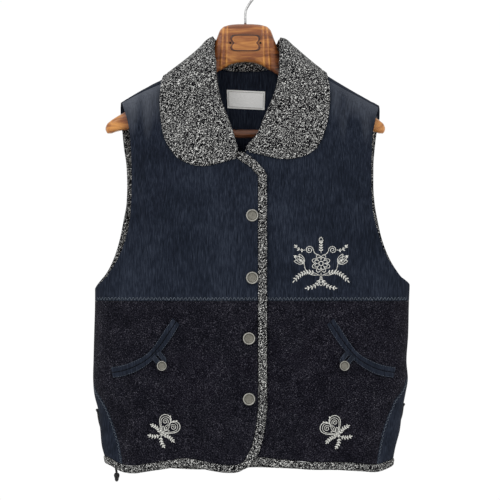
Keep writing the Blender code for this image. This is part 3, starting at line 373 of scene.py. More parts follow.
def along(rows, name, face):
    # The places of one of a table's lines
    return onCloth(rows[name + "X"], rows[name + "Z"], face)


def placesOf(points, face):
    # The places of points given by x and z
    return onCloth(points[..., 0], points[..., 1], face)


def seenFromFront(places):
    # The x and z of some places
    return surface(places)[..., [0, 2]]


def frontLift(places, side):
    # How far the right front lies out over the left one: an eased step across the lap
    if side != "right":
        return np.zeros(places.shape[:-1])
    return lapRise * rising(surface(places)[..., 0], lapStart, lapFull - lapStart)


def levelled(places, share):
    # Falls counted from the ridge's height, and back again
    return places + ridgeAt(places[..., :1]) * share * [0, 1]


def patch(top, bottom, near, far):
    # A Coons patch between four edges: top and bottom run from near to far, near and far run down
    face = math.copysign(1, bottom[0, 1])
    top, bottom, near, far = (levelled(edge, -face) for edge in (top, bottom, near, far))
    u = ((progress(top[:, 0]) + progress(bottom[:, 0])) / 2)[None, :, None]
    v = ((progress(near[:, 1]) + progress(far[:, 1])) / 2)[:, None, None]
    ruled = (1 - v) * top[None] + v * bottom[None] + (1 - u) * near[:, None] + u * far[:, None]
    corners = (1 - v) * ((1 - u) * top[0] + u * top[-1]) + v * ((1 - u) * bottom[0] + u * bottom[-1])
    return levelled(ruled - corners, face)


def refined(edges, count, first=0):
    # Edges whose rows belong together, each told again by the same even rows
    runs = [lengths(surface(edge[first:])) for edge in edges]
    rows = np.arange(len(edges[0]))
    at = np.interp(np.linspace(0, 1, count), sum(run / run[-1] for run in runs) / len(edges), rows[first:])
    return [told(steady, rows, edge, at) for edge in edges]


def pulledIn(grid):
    # Each edge moves half a seam gap towards the next line of points
    grid = grid.copy()
    for axis in (0, 1):
        lines = np.moveaxis(grid, axis, 0)
        for edge, inner in ((0, 1), (-1, -2)):
            step = lines[inner] - lines[edge]
            lines[edge] += step * (seamGap / 2 / np.linalg.norm(step, axis=-1, keepdims=True))
    return grid


def ribbon(path, distance):
    # The line that runs beside a path of x and z, square to its heading
    ahead = np.gradient(path, axis=0)
    ahead /= np.linalg.norm(ahead, axis=1, keepdims=True)
    return path + np.stack([-ahead[:, 1], ahead[:, 0]], axis=1) * distance


def hemPlaces(turn, face, height=0.0):
    # The hem line, or a line at some height above it, at each turn round the body
    middle, half = middleAndHalf(skirtRows["rightZ"][-1:])
    column = hemRows["front" if face == faceFront else "back"]
    z = smooth(hemRows["x"], column, middle + half * np.sin(turn)) + height
    return np.stack([turn, face * (ridgeAt(turn) - z + ridgeRound * (quarter - 1))], axis=-1)


def seamEdge(side, face):
    # Side seam and insert seam of a skirt, its last row on the hem binding
    edge = along(skirtRows, side, face)
    edge[-1] = hemPlaces(edge[-1:, 0], face, hemHeight)[0]
    return edge


def sideHem(side, shares):
    # Turns from the insert seam to the side
    start = seamEdge(side, faceFront)[-1, 0]
    return start + (math.copysign(quarter, start) - start) * shares


def frontSeam(side):
    # The front edge seam from the end of the neckline down to the hem binding
    yoke = yokeRows[side]
    skirtX = skirtRows["frontX"] if side == "right" else np.full_like(skirtRows["frontX"], leftBandSeam)
    upper = np.stack([yoke["neckX"], yoke["neckZ"]], axis=1)[neckRows - 1 : -1]
    edge = placesOf(np.concatenate([upper, np.stack([skirtX, skirtRows["frontZ"]], axis=1)]), faceFront)
    edge[-1] = hemPlaces(edge[-1:, 0], faceFront, hemHeight)[0]
    return edge


def roundSide(frontPlaces, backPlaces):
    # Back places told as a turn past the side, so that a run from front to back is unbroken
    side = math.copysign(math.pi, frontPlaces[0, 0])
    return np.concatenate([frontPlaces, np.stack([side - backPlaces[:, 0], -backPlaces[:, 1]], axis=1)])


# Camera, at the photograph's angle and framing
print("camera")
cameraForm = {"place": (0.0075, -6.0, -0.4416), "frameWidth": 0.8, "sensor": 36}

cameraData = bpy.data.cameras.new("Camera")
cameraData.sensor_width = cameraForm["sensor"]
cameraData.lens = cameraForm["sensor"] * -cameraForm["place"][1] / cameraForm["frameWidth"]
camera = bpy.data.objects.new("Camera", cameraData)
camera.location = cameraForm["place"]
camera.rotation_euler = (quarter, 0, 0)
bpy.context.scene.collection.objects.link(camera)
bpy.context.scene.camera = camera


# Rumples that the worn cloth has beside the main folds: heights, the lengths over which they change, and
# their fade towards the side seams
rumples = {
    "long": 0.0011, "longAcross": 0.042, "longDown": 0.120, "slant": 0.4,
    "short": 0.0005, "shortAcross": 0.017, "shortDown": 0.028, "yokeShare": 0.35,
    "pucker": 0.00035, "puckerStep": 0.0105, "puckerWidth": 0.009, "drift": 0.3, "driftLength": 0.02,
    "seamDip": 0.0007, "dipWidth": 0.0022, "sideTurn": 1.5, "sideFade": 0.25, "backSeed": 17, "noiseGrid": 64,
}


def softNoise(u, v, seed):
    # Value noise from -1 to 1: random heights on a unit grid, blended by a cubic between them
    grid = rumples["noiseGrid"]
    heights = np.random.default_rng(seed).uniform(-1, 1, (grid, grid))
    i, j = np.floor(u).astype(int), np.floor(v).astype(int)
    s, t = eased(u - i), eased(v - j)
    here, beyond = i % grid, (i + 1) % grid
    near, far = (heights[here, k % grid] * (1 - s) + heights[beyond, k % grid] * s for k in (j, j + 1))
    return near * (1 - t) + far * t


def relief(places):
    # Height over the plain form: long soft rumples, short ones below the seam, puckers that run along the
    # yoke seam as a sine, a dip in the seam itself as a bell curve, and the creases
    point = surface(places)
    x, z, front = point[..., 0], point[..., 2], point[..., 1] < 0
    seed = np.where(front, 0, rumples["backSeed"])
    across = x / rumples["longAcross"]
    down = z / rumples["longDown"] + seed + rumples["slant"] * across
    total = rumples["long"] * softNoise(across + seed, down, 3)
    share = rumples["yokeShare"] + (1 - rumples["yokeShare"]) * (z < yokeSeam)
    across, down = x / rumples["shortAcross"] + seed, z / rumples["shortDown"] + seed
    total += rumples["short"] * share * softNoise(across, down, 5)
    drift = rumples["drift"] * softNoise(x / rumples["driftLength"], z / rumples["driftLength"], 9)
    wave = np.sin(2 * math.pi * (x / rumples["puckerStep"] + drift))
    total += rumples["pucker"] * wave * bell((z - yokeSeam) / rumples["puckerWidth"])
    total -= rumples["seamDip"] * bell((z - yokeSeam) / rumples["dipWidth"])
    total += rises(creaseRows, creaseFade, creaseWobble, x, z, front)
    return total * rising(np.abs(places[..., 0]), rumples["sideTurn"], -rumples["sideFade"])


def draped(places, lift=0.0):
    # The points over some places on the cloth, its rumples with them
    return raised(places, lift + relief(places))


print("materials")


def linearColor(code):
    # An sRGB colour code as linear light: below a small limit a straight line, above it a power
    parts = np.array([int(code[i : i + 2], 16) for i in (1, 3, 5)]) / 255
    light = np.where(parts <= 0.04045, parts / 12.92, ((parts + 0.055) / 1.055) ** 2.4)
    return (*(float(x) for x in light), 1.0)


def newMaterial(name):
    # A material with its main shader, and the object coordinates that its patterns go by
    material = bpy.data.materials.new(name)
    material.use_nodes = True
    return material, (addNode(material, "TexCoord", {}, {}), "Object")


def setNode(material, node, settings, links):
    # A node's own settings, its inputs' values and its links. A colour ramp's stops go by their position.
    for key, value in settings.items():
        if key == "stops":
            elements = node.color_ramp.elements
            while len(elements) < len(value):
                elements.new(0.5)
            for element, (position, code) in zip(elements, value.items()):
                element.position, element.color = position, linearColor(code)
        elif isinstance(key, str) and hasattr(node, key):
            setattr(node, key, value)
        else:
            isCode = isinstance(value, str)
            node.inputs[key].default_value = linearColor(value) if isCode else value
    for key, link in links.items():
        source, output = link if isinstance(link, tuple) else (link, 0)
        material.node_tree.links.new(source.outputs[output], node.inputs[key])
    return node


def addNode(material, kind, settings, links):
    # One new node with its settings and links
    return setNode(material, material.node_tree.nodes.new("ShaderNode" + kind), settings, links)


def shaderOf(material, settings, links):
    # The same for the material's main shader
    return setNode(material, material.node_tree.nodes["Principled BSDF"], settings, links)


# Stone-washed navy denim, ring spun and dyed in the yarn: long thin lighter streaks down it, faded on the
# shoulders. Its threads are 1.2 mm apart, as coarse as they need to be to show.
denim, place = newMaterial("Navy denim")
threads = addNode(denim, "Mapping", {"Scale": (820, 820, 60)}, {"Vector": place})
streaks = addNode(denim, "TexNoise", {"Scale": 1.0, "Detail": 3.0, "Roughness": 0.65}, {"Vector": threads})
cloud = addNode(denim, "TexNoise", {"Scale": 16.0, "Detail": 4.0}, {"Vector": place})
dyed = addNode(denim, "Math", {"operation": "MULTIPLY_ADD", 1: 0.35}, {0: cloud, 2: streaks})
indigos = {"stops": {0.50: "#11151D", 0.68: "#1C212C", 0.92: "#323844"}}
dye = addNode(denim, "ValToRGB", indigos, {"Fac": dyed})
wear = addNode(denim, "Attribute", {"attribute_name": "wear"}, {})
rubbed = addNode(denim, "Math", {"operation": "MULTIPLY"}, {0: (wear, "Fac"), 1: dyed})
worn = addNode(denim, "Mix", {"data_type": "RGBA", 7: "#63676F"}, {0: rubbed, 6: dye})
twill = addNode(denim, "Mapping", {"Scale": (900, 900, 300), "Rotation": (0, 0.6, 0)}, {"Vector": place})
ribs = addNode(denim, "TexNoise", {"Scale": 1.0, "Detail": 2.0}, {"Vector": twill})
weave = addNode(denim, "Math", {"operation": "ADD"}, {0: ribs, 1: streaks})
bump = addNode(denim, "Bump", {"Strength": 0.55, "Distance": 0.0006}, {"Height": weave})
napless = {"Roughness": 0.92, "Sheen Weight": 0.03, "Sheen Roughness": 0.6, "Specular IOR Level": 0.0}
shaderOf(denim, napless, {"Base Color": (worn, 2), "Normal": bump})

# Bouclé wool, knitted from looped yarn and steamed: near black with dull lighter loops, and a nap that
# catches light
wool, place = newMaterial("Boucle wool")
loops = addNode(wool, "TexVoronoi", {"Scale": 430.0, "Randomness": 1.0}, {"Vector": place})
flecks = addNode(wool, "TexNoise", {"Scale": 640.0, "Detail": 3.0, "Roughness": 0.7}, {"Vector": place})
patches = addNode(wool, "TexNoise", {"Scale": 45.0, "Detail": 3.0}, {"Vector": place})
mixed = addNode(wool, "Math", {"operation": "MULTIPLY_ADD", 1: 0.14}, {0: patches, 2: flecks})
yarns = {"stops": {0.42: "#05050A", 0.55: "#0D0D14", 0.68: "#2A2932", 0.80: "#6C6B72"}}
yarn = addNode(wool, "ValToRGB", yarns, {"Fac": mixed})
nap = addNode(wool, "Math", {"operation": "MULTIPLY_ADD", 1: 0.8}, {0: flecks, 2: (loops, "Distance")})
bump = addNode(wool, "Bump", {"Strength": 0.9, "Distance": 0.0014}, {"Height": nap})
napped = {"Roughness": 1.0, "Sheen Weight": 0.05, "Sheen Roughness": 0.5, "Specular IOR Level": 0.0}
shaderOf(wool, napped, {"Base Color": yarn, "Normal": bump})

# Tweed woven with a black and an off-white yarn floating over each other on the slant, brushed: flecks of 1
# to 2 mm
tweed, place = newMaterial("Salt and pepper tweed")
slanted = {"vector_type": "TEXTURE", "Scale": (0.0023, 0.0014, 0.00084), "Rotation": (0, -0.6, 0)}
slant = addNode(tweed, "Mapping", slanted, {"Vector": place})
floatNoise = {"Scale": 1.0, "Detail": 2.0, "Roughness": 0.55, "Distortion": 0.3}
floats = addNode(tweed, "TexNoise", floatNoise, {"Vector": slant})
twists = {"stops": {0.49: "#08080A", 0.565: "#3C3C40", 0.64: "#F4F4F0"}}
twist = addNode(tweed, "ValToRGB", twists, {"Fac": floats})
fuzz = addNode(tweed, "TexNoise", {"Scale": 900.0, "Detail": 2.0}, {"Vector": place})
pile = addNode(tweed, "Math", {"operation": "MULTIPLY_ADD", 1: 0.5}, {0: fuzz, 2: floats})
bump = addNode(tweed, "Bump", {"Strength": 0.9, "Distance": 0.0012}, {"Height": pile})
shaderOf(tweed, {**napped, "Sheen Weight": 0.03}, {"Base Color": twist, "Normal": bump})

# Antique silver buttons: cast zinc plated and rubbed, darker where the polish does not reach
silver, place = newMaterial("Antique silver")
casting = addNode(silver, "TexNoise", {"Scale": 420.0, "Detail": 4.0}, {"Vector": place})
hollow = addNode(silver, "Attribute", {"attribute_name": "wear"}, {})
tarnish = addNode(silver, "Math", {"operation": "MULTIPLY_ADD", 1: 0.35}, {0: casting, 2: (hollow, "Fac")})
metals = {"stops": {0.15: "#A3A29C", 0.70: "#7C7A72", 1.0: "#403E38"}}
metal = addNode(silver, "ValToRGB", metals, {"Fac": tarnish})
bump = addNode(silver, "Bump", {"Strength": 0.9, "Distance": 0.0007}, {"Height": casting})
shaderOf(silver, {"Metallic": 1.0, "Roughness": 0.36}, {"Base Color": metal, "Normal": bump})

# Beech stained brown, turned and varnished: long wavy grain, and a clear gloss over it. The attribute read
# here paints light into the colour: painted highlights on the hanger's low middle, rib crests and tips, and
# painted shade on its sides, round the plate's lip and over the whole bar
wood, place = newMaterial("Varnished wood")
grain = addNode(wood, "Mapping", {"Scale": (9, 60, 60)}, {"Vector": place})
ringNoise = {"Scale": 1.6, "Detail": 6.0, "Roughness": 0.62, "Distortion": 0.8}
rings = addNode(wood, "TexNoise", ringNoise, {"Vector": grain})
# This attribute is painted light on the wood: painted highlights and painted shade, higher values lighter
depth = addNode(wood, "Attribute", {"attribute_name": "wear"}, {})
toned = addNode(wood, "Math", {"operation": "MULTIPLY_ADD", 1: 0.24}, {0: (depth, "Fac"), 2: rings})
stains = {"stops": {0.20: "#2C1208", 0.50: "#80461D", 0.80: "#C98A45"}}
stainAndShade = addNode(wood, "ValToRGB", stains, {"Fac": toned})
bump = addNode(wood, "Bump", {"Strength": 0.15, "Distance": 0.0005}, {"Height": rings})
varnish = {"Roughness": 0.42, "Specular IOR Level": 0.3, "Coat Weight": 0.35, "Coat Roughness": 0.14}
shaderOf(wood, varnish, {"Base Color": stainAndShade, "Normal": bump})


def patterned(name, noise, stops, bumps, shader, stretch=(1, 1, 1)):
    # A material whose noise, of a scale and a detail, sets its colour by stops and its bump of a strength and
    # a depth
    material, place = newMaterial(name)
    stretched = addNode(material, "Mapping", {"Scale": stretch}, {"Vector": place})
    pattern = addNode(material, "TexNoise", {"Scale": noise[0], "Detail": noise[1]}, {"Vector": stretched})
    shade = addNode(material, "ValToRGB", {"stops": stops}, {"Fac": pattern})
    bump = addNode(material, "Bump", {"Strength": bumps[0], "Distance": bumps[1]}, {"Height": pattern})
    shaderOf(material, shader, {"Base Color": shade, "Normal": bump})
    return material


# Woven satin of the label: smooth floats that shine a little, faintly ribbed
satinStops, satinShader = {0.3: "#DADAD8", 0.7: "#F2F2F0"}, {"Roughness": 0.42, "Sheen Weight": 0.1}
satin = patterned("White satin", (1.0, 1.0), satinStops, (0.3, 0.0003), satinShader, (300, 300, 2600))

# Embroidery and seam thread: mercerised cotton laid by machine, each stitch a little lighter or darker
threadShader = {"Roughness": 0.6, "Sheen Weight": 0.1}
cream, seamThread, labelThread = (
    patterned(name, (700.0, 2.0), {0.38: dark, 0.62: light}, (0.5, 0.0003), threadShader)
    for name, dark, light in (
        ("Cream embroidery thread", "#B4B4AE", "#ECECE6"),
        ("Blue grey seam thread", "#2E3843", "#66717E"),
        ("Silver grey label thread", "#8C8C88", "#A5A5A0"),
    )
)

# Braided black cotton cord: dull, with its plies showing as fine ridges
cottonShader = {"Roughness": 0.85, "Sheen Weight": 0.2}
blacks = {0.4: "#08080A", 0.7: "#222226"}
cotton = patterned("Black cotton cord", (1400.0, 2.0), blacks, (0.6, 0.0004), cottonShader)

# Drawn steel wire, nickel plated: bright, with faint scratches. The screw heads are the same, blackened in
# hot oil.
steelShader = {"Metallic": 1.0, "Roughness": 0.24}
steel, blackSteel = (
    patterned(name, (260.0, 5.0), {0.35: dark, 0.65: light}, (0.12, 0.0003), steelShader)
    for name, dark, light in (
        ("Bright steel", "#8C8C8C", "#C4C4C4"),
        ("Blackened steel", "#15120F", "#2A2622"),
    )
)

cloths = {
    "denim": (denim, "denim"), "wool": (wool, "wool"), "tweed": (tweed, "tweed"), "band": (tweed, "tweed"),
    "trim": (denim, "denim"), "label": (satin, "satin"), "facing": (tweed, "tweed"),
}


def makeMesh(name, points, faces, material, wear=None):
    # A smooth mesh that rides the one body and takes its finish from a slot
    mesh = bpy.data.meshes.new(name)
    mesh.from_pydata(points.reshape(-1, 3).tolist(), [], faces)
    mesh.materials.append(material)
    mesh.shade_smooth()
    # Real wear on the denim and patina on the buttons; on the hanger's wood, painted highlights and shade
    if wear is not None:
        layer = mesh.attributes.new("wear", "FLOAT", "POINT")
        values = np.broadcast_to(wear, points.shape[:-1]).reshape(-1)
        layer.data.foreach_set("value", values.astype(np.float32))
    piece = bpy.data.objects.new(name, mesh)
    bpy.context.scene.collection.objects.link(piece)
    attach(piece, "root")
    return piece


def quads(rows, columns, closed=False):
    # Corner numbers of the faces between rows of points, which may close round on themselves
    index = np.arange(rows * columns).reshape(rows, columns)
    if closed:
        index = np.concatenate([index, index[:, :1]], axis=1)
    return np.stack([index[:-1, :-1], index[:-1, 1:], index[1:, 1:], index[1:, :-1]], axis=-1).reshape(-1, 4)


def loftFaces(rings, steps):
    # Faces between closed rings, with a flat cap at each end
    last = (rings - 1) * steps
    caps = [list(range(steps))[::-1], list(range(last, last + steps))]
    return quads(rings, steps, closed=True).tolist() + caps


def domeFaces(rings, steps):
    # Faces between closed rings, with a fan at each end to the first point of all and the last
    last = 1 + (rings - 1) * steps
    after = [(i + 1) % steps for i in range(steps)]
    faces = (quads(rings, steps, closed=True)[:, ::-1] + 1).tolist()
    faces += [[0, 1 + i, 1 + after[i]] for i in range(steps)]
    return faces + [[last + steps, last + after[i], last + i] for i in range(steps)]


def turns(steps):
    # Even angles all round
    return np.arange(steps) * 2 * math.pi / steps


flatSizes = {}
smallestShare = 0.3


def flatSize(points):
    # The greatest width and length of a grid and its area, in metres
    width = np.linalg.norm(np.diff(points, axis=1), axis=-1).sum(axis=1)
    length = np.linalg.norm(np.diff(points, axis=0), axis=-1).sum(axis=0)
    across, down = points[:-1, 1:] - points[:-1, :-1], points[1:, :-1] - points[:-1, :-1]
    area = np.linalg.norm(np.cross(across, down), axis=-1).sum()
    return float(width.max()), float(length.max()), float(area)


def sheetPiece(name, places, lift, cloth, wear=None):
    # Cloth over a grid of places, with its wall on the side of the body
    material, slot = cloths[cloth]
    points = pulledIn(draped(places, lift))
    faces = quads(*points.shape[:2])
    row, column = (n // 2 for n in points.shape[:2])
    corner = points[row, column]
    across, down = points[row, column + 1] - corner, points[row + 1, column] - corner
    if np.cross(across, down) @ outward(places[row, column]) < 0:
        faces = faces[:, ::-1]
    piece = makeMesh(name, points, faces.tolist(), material, wear)
    thickness = piece.modifiers.new("Wall", "SOLIDIFY")
    thickness.thickness = walls[cloth]
    thickness.offset = -1
    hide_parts(name.replace("look_", ""))
    flatSizes[piece.name] = flatSize(points)
    return piece


def declareSheet(piece):
    # A sheet's cut: its flat width and length, and its area where the cut is no rectangle
    width, length, area = flatSizes[piece.name]
    area = min(max(area, smallestShare * width * length), width * length)


# Side cords of the lower sides, before any other piece
print("cords")
cordForm = {
    "radius": 0.0019, "knot": 0.0028, "endKnot": 0.0042, "rings": 150, "sides": 12, "turns": 14, "strands": 3,
    "groove": 0.10, "knotSize": 1.2, "endSize": 1.12, "endTall": 2.1, "endDrop": 0.45,
    "knotRings": 120, "knotReach": 0.62, "knotDeep": 1.3, "knotStrand": 0.42,
}


def tubeMesh(name, path, radius, material, twist=0.0, groove=0.0, strands=3, sides=10, closed=False):
    # A round tube along a path: each ring is the path's point plus the radius times a cosine and a sine of
    # two directions that stay square to it, and a groove winds round as a cosine of the angle
    ahead = np.roll(path, -1, axis=0) - np.roll(path, 1, axis=0) if closed else np.gradient(path, axis=0)
    ahead /= np.linalg.norm(ahead, axis=1, keepdims=True)
    side = np.cross(ahead, [0.0, 1.0, 0.0])
    side /= np.linalg.norm(side, axis=1, keepdims=True)
    other = np.cross(ahead, side)
    angle = turns(sides)
    run = np.linspace(0, 1, len(path))[:, None]
    girth = radius * (1 - groove * (0.5 + 0.5 * np.cos(strands * (angle[None] + 2 * math.pi * twist * run))))
    ring = side[:, None] * np.cos(angle)[None, :, None] + other[:, None] * np.sin(angle)[None, :, None]
    points = path[:, None] + ring * girth[..., None]
    if closed:
        faces = (quads(len(path) + 1, sides, closed=True) % (len(path) * sides)).tolist()
    else:
        faces = loftFaces(len(path), sides)
    return makeMesh(name, points, faces, material)


def knotMesh(name, centre, radius, tall):
    # A cord tied in a trefoil: x sin t + 2 sin 2t, depth -sin 3t and height cos t - 2 cos 2t, shrunk to the
    # knot's size
    t = np.linspace(0, 2 * math.pi, cordForm["knotRings"], endpoint=False)
    y = -cordForm["knotDeep"] * np.sin(3 * t)
    path = np.stack([np.sin(t) + 2 * np.sin(2 * t), y, np.cos(t) - 2 * np.cos(2 * t)], axis=1)
    path = np.array(centre) + path * [1, 1, tall] * (radius * cordForm["knotReach"] / 3)
    strand = radius * cordForm["knotStrand"]
    return tubeMesh(name, path, strand, cotton, sides=cordForm["sides"], closed=True)


for side, route in sideCordRows.items():
    cordRadius, knotRadius = cordForm["radius"], cordForm["knot"]
    knotPlace = onCloth(route["x"][:1], route["z"][:1] + knotRadius + seamGap, faceBack)
    points = raised(onCloth(route["x"], route["z"], faceBack), cordRadius + bandProud + seamGap)
    if side == "right":
        points[-2:, 1] = points[-3, 1]
    path = told(smooth, progress(points[:, 2]), points, np.linspace(0, 1, cordForm["rings"]))
    cordPiece = tubeMesh(
        f"look_side_cord_{side}", path, cordRadius, cotton,
        cordForm["turns"], cordForm["groove"], cordForm["strands"], cordForm["sides"],
    )
    knotCentre = raised(knotPlace, knotRadius + 2 * seamGap)[0]
    top = knotMesh(f"look_cord_knot_{side}", knotCentre, knotRadius * cordForm["knotSize"], 1.0)
    radius = cordForm["endKnot"] if side == "right" else knotRadius
    endCentre = path[-1] - [0, 0, radius * cordForm["endDrop"]]
    end = knotMesh(f"look_cord_end_{side}", endCentre, radius * cordForm["endSize"], cordForm["endTall"])
    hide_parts(f"side_cord_{side}")
    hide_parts(f"cord_knot_{side}")
    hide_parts(f"cord_end_{side}")


print("panels")
panelGrid = {
    "frontRows": 130, "frontColumns": 96, "backRows": 90, "shoulderColumns": 14, "neckColumns": 44,
    "insertRows": 60,
    "insertColumns": 12, "facingColumns": 8, "facingTop": 0.12, "facingEnd": 0.93,
}
wearForm = {
    "depth": 0.085, "right": 1.0, "left": 0.62, "inner": 0.075, "outer": 0.150, "ragged": 0.45,
    "across": 0.012,
    "down": 0.05, "seed": 21, "power": 1.3,
}


def shoulderWear(places):
    # One at the shoulder seam's outer half, falling to nothing further down the cloth and towards the neck
    point = surface(places)
    x = point[..., 0]
    side = np.where(x < 0, wearForm["right"], wearForm["left"])
    across = rising(np.abs(x), wearForm["inner"], wearForm["outer"] - wearForm["inner"])
    noise = softNoise(x / wearForm["across"], point[..., 2] / wearForm["down"], wearForm["seed"])
    drop = np.abs(places[..., 1]) / wearForm["depth"] / (1 + wearForm["ragged"] * noise)
    return np.clip(side * across * (1 - drop), 0, 1) ** wearForm["power"]


def yokeSeamPlaces(x, face):
    # The yoke seam at some x
    return onCloth(x, np.full_like(x, yokeSeam), face)


def frontPanels(side):
    # A front's yoke and skirt, each a patch between its four seams
    yoke = yokeRows[side]
    edges = [along(yoke, name, faceFront) for name in ("armhole", "neck")]
    near, far = refined(edges, panelGrid["frontRows"])
    shares = np.linspace(0, 1, panelGrid["frontColumns"])
    middle, half = middleAndHalf(np.array(yokeSeam))
    ends = np.array([yoke["armholeX"][-1], yoke["neckX"][-1]])
    start, end = np.arcsin(np.clip((ends - middle) / half, -1, 1))
    seam = yokeSeamPlaces(middle + half * np.sin(start + (end - start) * shares), faceFront)
    places = patch(spread(near[0], far[0], shares), seam, near, far)
    lift = frontLift(places, side)
    top = sheetPiece(f"look_front_{side}_yoke", places, lift, "denim", shoulderWear(places))
    edges = [seamEdge(side, faceFront), frontSeam(side)[-len(skirtRows["frontX"]) :]]
    near, far = refined(edges, panelGrid["frontRows"])
    hemTurns = near[-1, 0] + (far[-1, 0] - near[-1, 0]) * shares
    places = patch(seam, hemPlaces(hemTurns, faceFront, hemHeight), near, far)
    bottom = sheetPiece(f"look_front_{side}_skirt", places, frontLift(places, side), "wool")
    return top, bottom


def backPanels():
    # The back's yoke and skirt in the same way, and the facings inside its armholes
    edges = [along(backArmholeRows, side, backArmholeRows["face"]) for side in bothSides]
    near, far = refined(edges, panelGrid["backRows"])
    shares = np.linspace(0, 1, panelGrid["shoulderColumns"])
    shoulders = []
    for yoke in yokeRows.values():
        endX, endZ = ([yoke[name + axis][0] for name in ("armhole", "neck")] for axis in "XZ")
        ends = onCloth(endX, endZ, faceFront)
        shoulders.append(spread(ends[0], ends[1], shares))
    neck = onCloth(backNeckRows["x"], backNeckRows["z"], backNeckRows["face"])
    neck = told(straight, np.arange(len(neck)), neck, np.linspace(0, len(neck) - 1, panelGrid["neckColumns"]))
    top = np.concatenate([shoulders[0], neck, shoulders[1][::-1]])
    columnTurns = np.concatenate([
        backShoulderTurn * shares - quarter,
        np.linspace(-backNeckTurn, backNeckTurn, len(neck)),
        quarter - backShoulderTurn * shares[::-1],
    ])
    middle, half = middleAndHalf(np.array(yokeSeam))
    seam = yokeSeamPlaces(middle + half * np.sin(columnTurns), faceBack)
    places = patch(top, seam, near, far)
    upper = sheetPiece("look_back_yoke", places, 0.0, "denim", 0.0)
    rows = slice(int(len(near) * panelGrid["facingTop"]), int(len(near) * panelGrid["facingEnd"]))
    wide = panelGrid["facingColumns"]
    facings = [
        sheetPiece(f"look_armhole_facing_{side}", places[rows, columns], -walls["denim"] - seamGap, "facing")
        for side, columns in (("right", slice(0, wide)), ("left", slice(-wide, None)))
    ]
    edges = refined([seamEdge(side, faceBack) for side in bothSides], panelGrid["backRows"])
    start, end = edges[0][-1, 0], edges[1][-1, 0]
    hemTurns = start + (end - start) * (columnTurns / math.pi + 0.5)
    places = patch(seam, hemPlaces(hemTurns, faceBack, hemHeight), *edges)
    lower = sheetPiece("look_back_skirt", places, 0.0, "wool")
    return upper, lower, facings


def sideInsert(side):
    # An insert from its arched top to the hem, run round the side on to the back
    front, back = seamEdge(side, faceFront), seamEdge(side, faceBack)
    start = insertRow + apexRows
    shares = np.linspace(0, 1, panelGrid["insertColumns"])
    arches = [spread(edge[start], edge[insertRow], shares) for edge in (front, back)]
    near, behind = refined([front, back], panelGrid["insertRows"], start)
    hemTurns = sideHem(side, shares)
    hems = hemPlaces(hemTurns, faceFront, hemHeight), hemPlaces(hemTurns[-2::-1], faceBack, hemHeight)
    arch = roundSide(arches[0], arches[1][-2::-1])
    places = patch(arch, roundSide(*hems), near, roundSide(near[:1], behind)[1:])
    return sheetPiece(f"look_side_insert_{side}", places, 0.0, "denim", 0.0)


fronts = {side: frontPanels(side) for side in bothSides}
backYoke, backSkirt, facings = backPanels()
inserts = {side: sideInsert(side) for side in bothSides}


print("bindings")
bandForm = {"columns": 9, "rows": 260, "puff": 0.0016, "insertTurns": 14, "frontTurns": 140, "backTurns": 200}


def stripPiece(name, edgeA, edgeB, lift, side, cloth, settings, wear=None):
    # A strip between two edges, its back arched: the puff times the fourth-power arch over its width
    shares = np.linspace(0, 1, settings["columns"])
    places = spread(edgeA[:, None], edgeB[:, None], np.broadcast_to(shares[None], (len(edgeA), len(shares))))
    puffed = settings["puff"] * (1 - (2 * shares - 1) ** 4)
    return sheetPiece(name, places, lift + frontLift(places, side) + puffed[None], cloth, wear)


def frontBand(side):
    # The binding of a front edge, beside its seam
    seam = frontSeam(side)
    if side == "right":
        edge = ribbon(seenFromFront(seam), bandWidth)
        edge[0], edge[-1] = rightBandStart, rightBandEnd
    else:
        edge = seenFromFront(seam) - [bandWidth, 0]
    seam, edge = refined([seam, placesOf(edge, faceFront)], bandForm["rows"])
    return stripPiece(f"look_front_band_{side}", seam, edge, bandProud, side, "band", bandForm)


def hemBand(name, hemTurns, face, side=None):
    # The binding of the hem. The right one meets the front band in a mitre.
    upper, lower = hemPlaces(hemTurns, face, hemHeight - seamGap), hemPlaces(hemTurns, face)
    if side == "right":
        mitre = seenFromFront(np.stack([upper[-1], lower[-1]]))
        mitre[1] = rightBandEnd
        upper[-1], lower[-1] = placesOf(mitre - [mitreGap, 0], faceFront)
    return stripPiece(name, upper, lower, bandProud, side, "band", bandForm)


bands = {side: frontBand(side) for side in bothSides}
hemEnds = {}
for side in bothSides:
    hemEnds[side] = sideHem(side, np.linspace(0, 1, bandForm["insertTurns"]))[::-1]
    last = frontSeam(side)[-1, 0]
    if side == "left":
        last = onCloth(leftBandSeam - bandWidth, skirtRows["frontZ"][-1], faceFront)[0]
    frontTurns = np.linspace(hemEnds[side][-1], last, bandForm["frontTurns"])[1:]
    frontTurns = np.concatenate([hemEnds[side], frontTurns])
    hemBand(f"look_hem_band_{side}", frontTurns, faceFront, side)
backTurns = np.linspace(hemEnds["right"][-1], hemEnds["left"][-1], bandForm["backTurns"])[1:-1]
backTurns = np.concatenate([hemEnds["right"], backTurns, hemEnds["left"][::-1]])
hemBand("look_hem_band_back", backTurns, faceBack)


print("collar")
collarForm = {
    "columns": 280, "rows": 52, "standRows": 12, "rowPower": 0.85, "lift": 0.0038, "fallOff": 1.2,
    "stepBack": 0.1,
    "stitchLine": 0.0095, "groove": 0.0009, "grooveWidth": 0.0014, "rim": 0.0016, "rimWidth": 0.0022,
    "crest": 0.0050, "crestWidth": 0.014, "crestFrom": 0.012, "crestRun": 0.007,
    "soft": 0.0009, "softAcross": 0.9, "softDown": 2.2, "seed": 31,
}


def acrossCollar(start, end, shares):
    # Rows of places from one line round the neck to another
    return spread(start[None], end[None], np.broadcast_to(shares, (len(shares), len(start))))


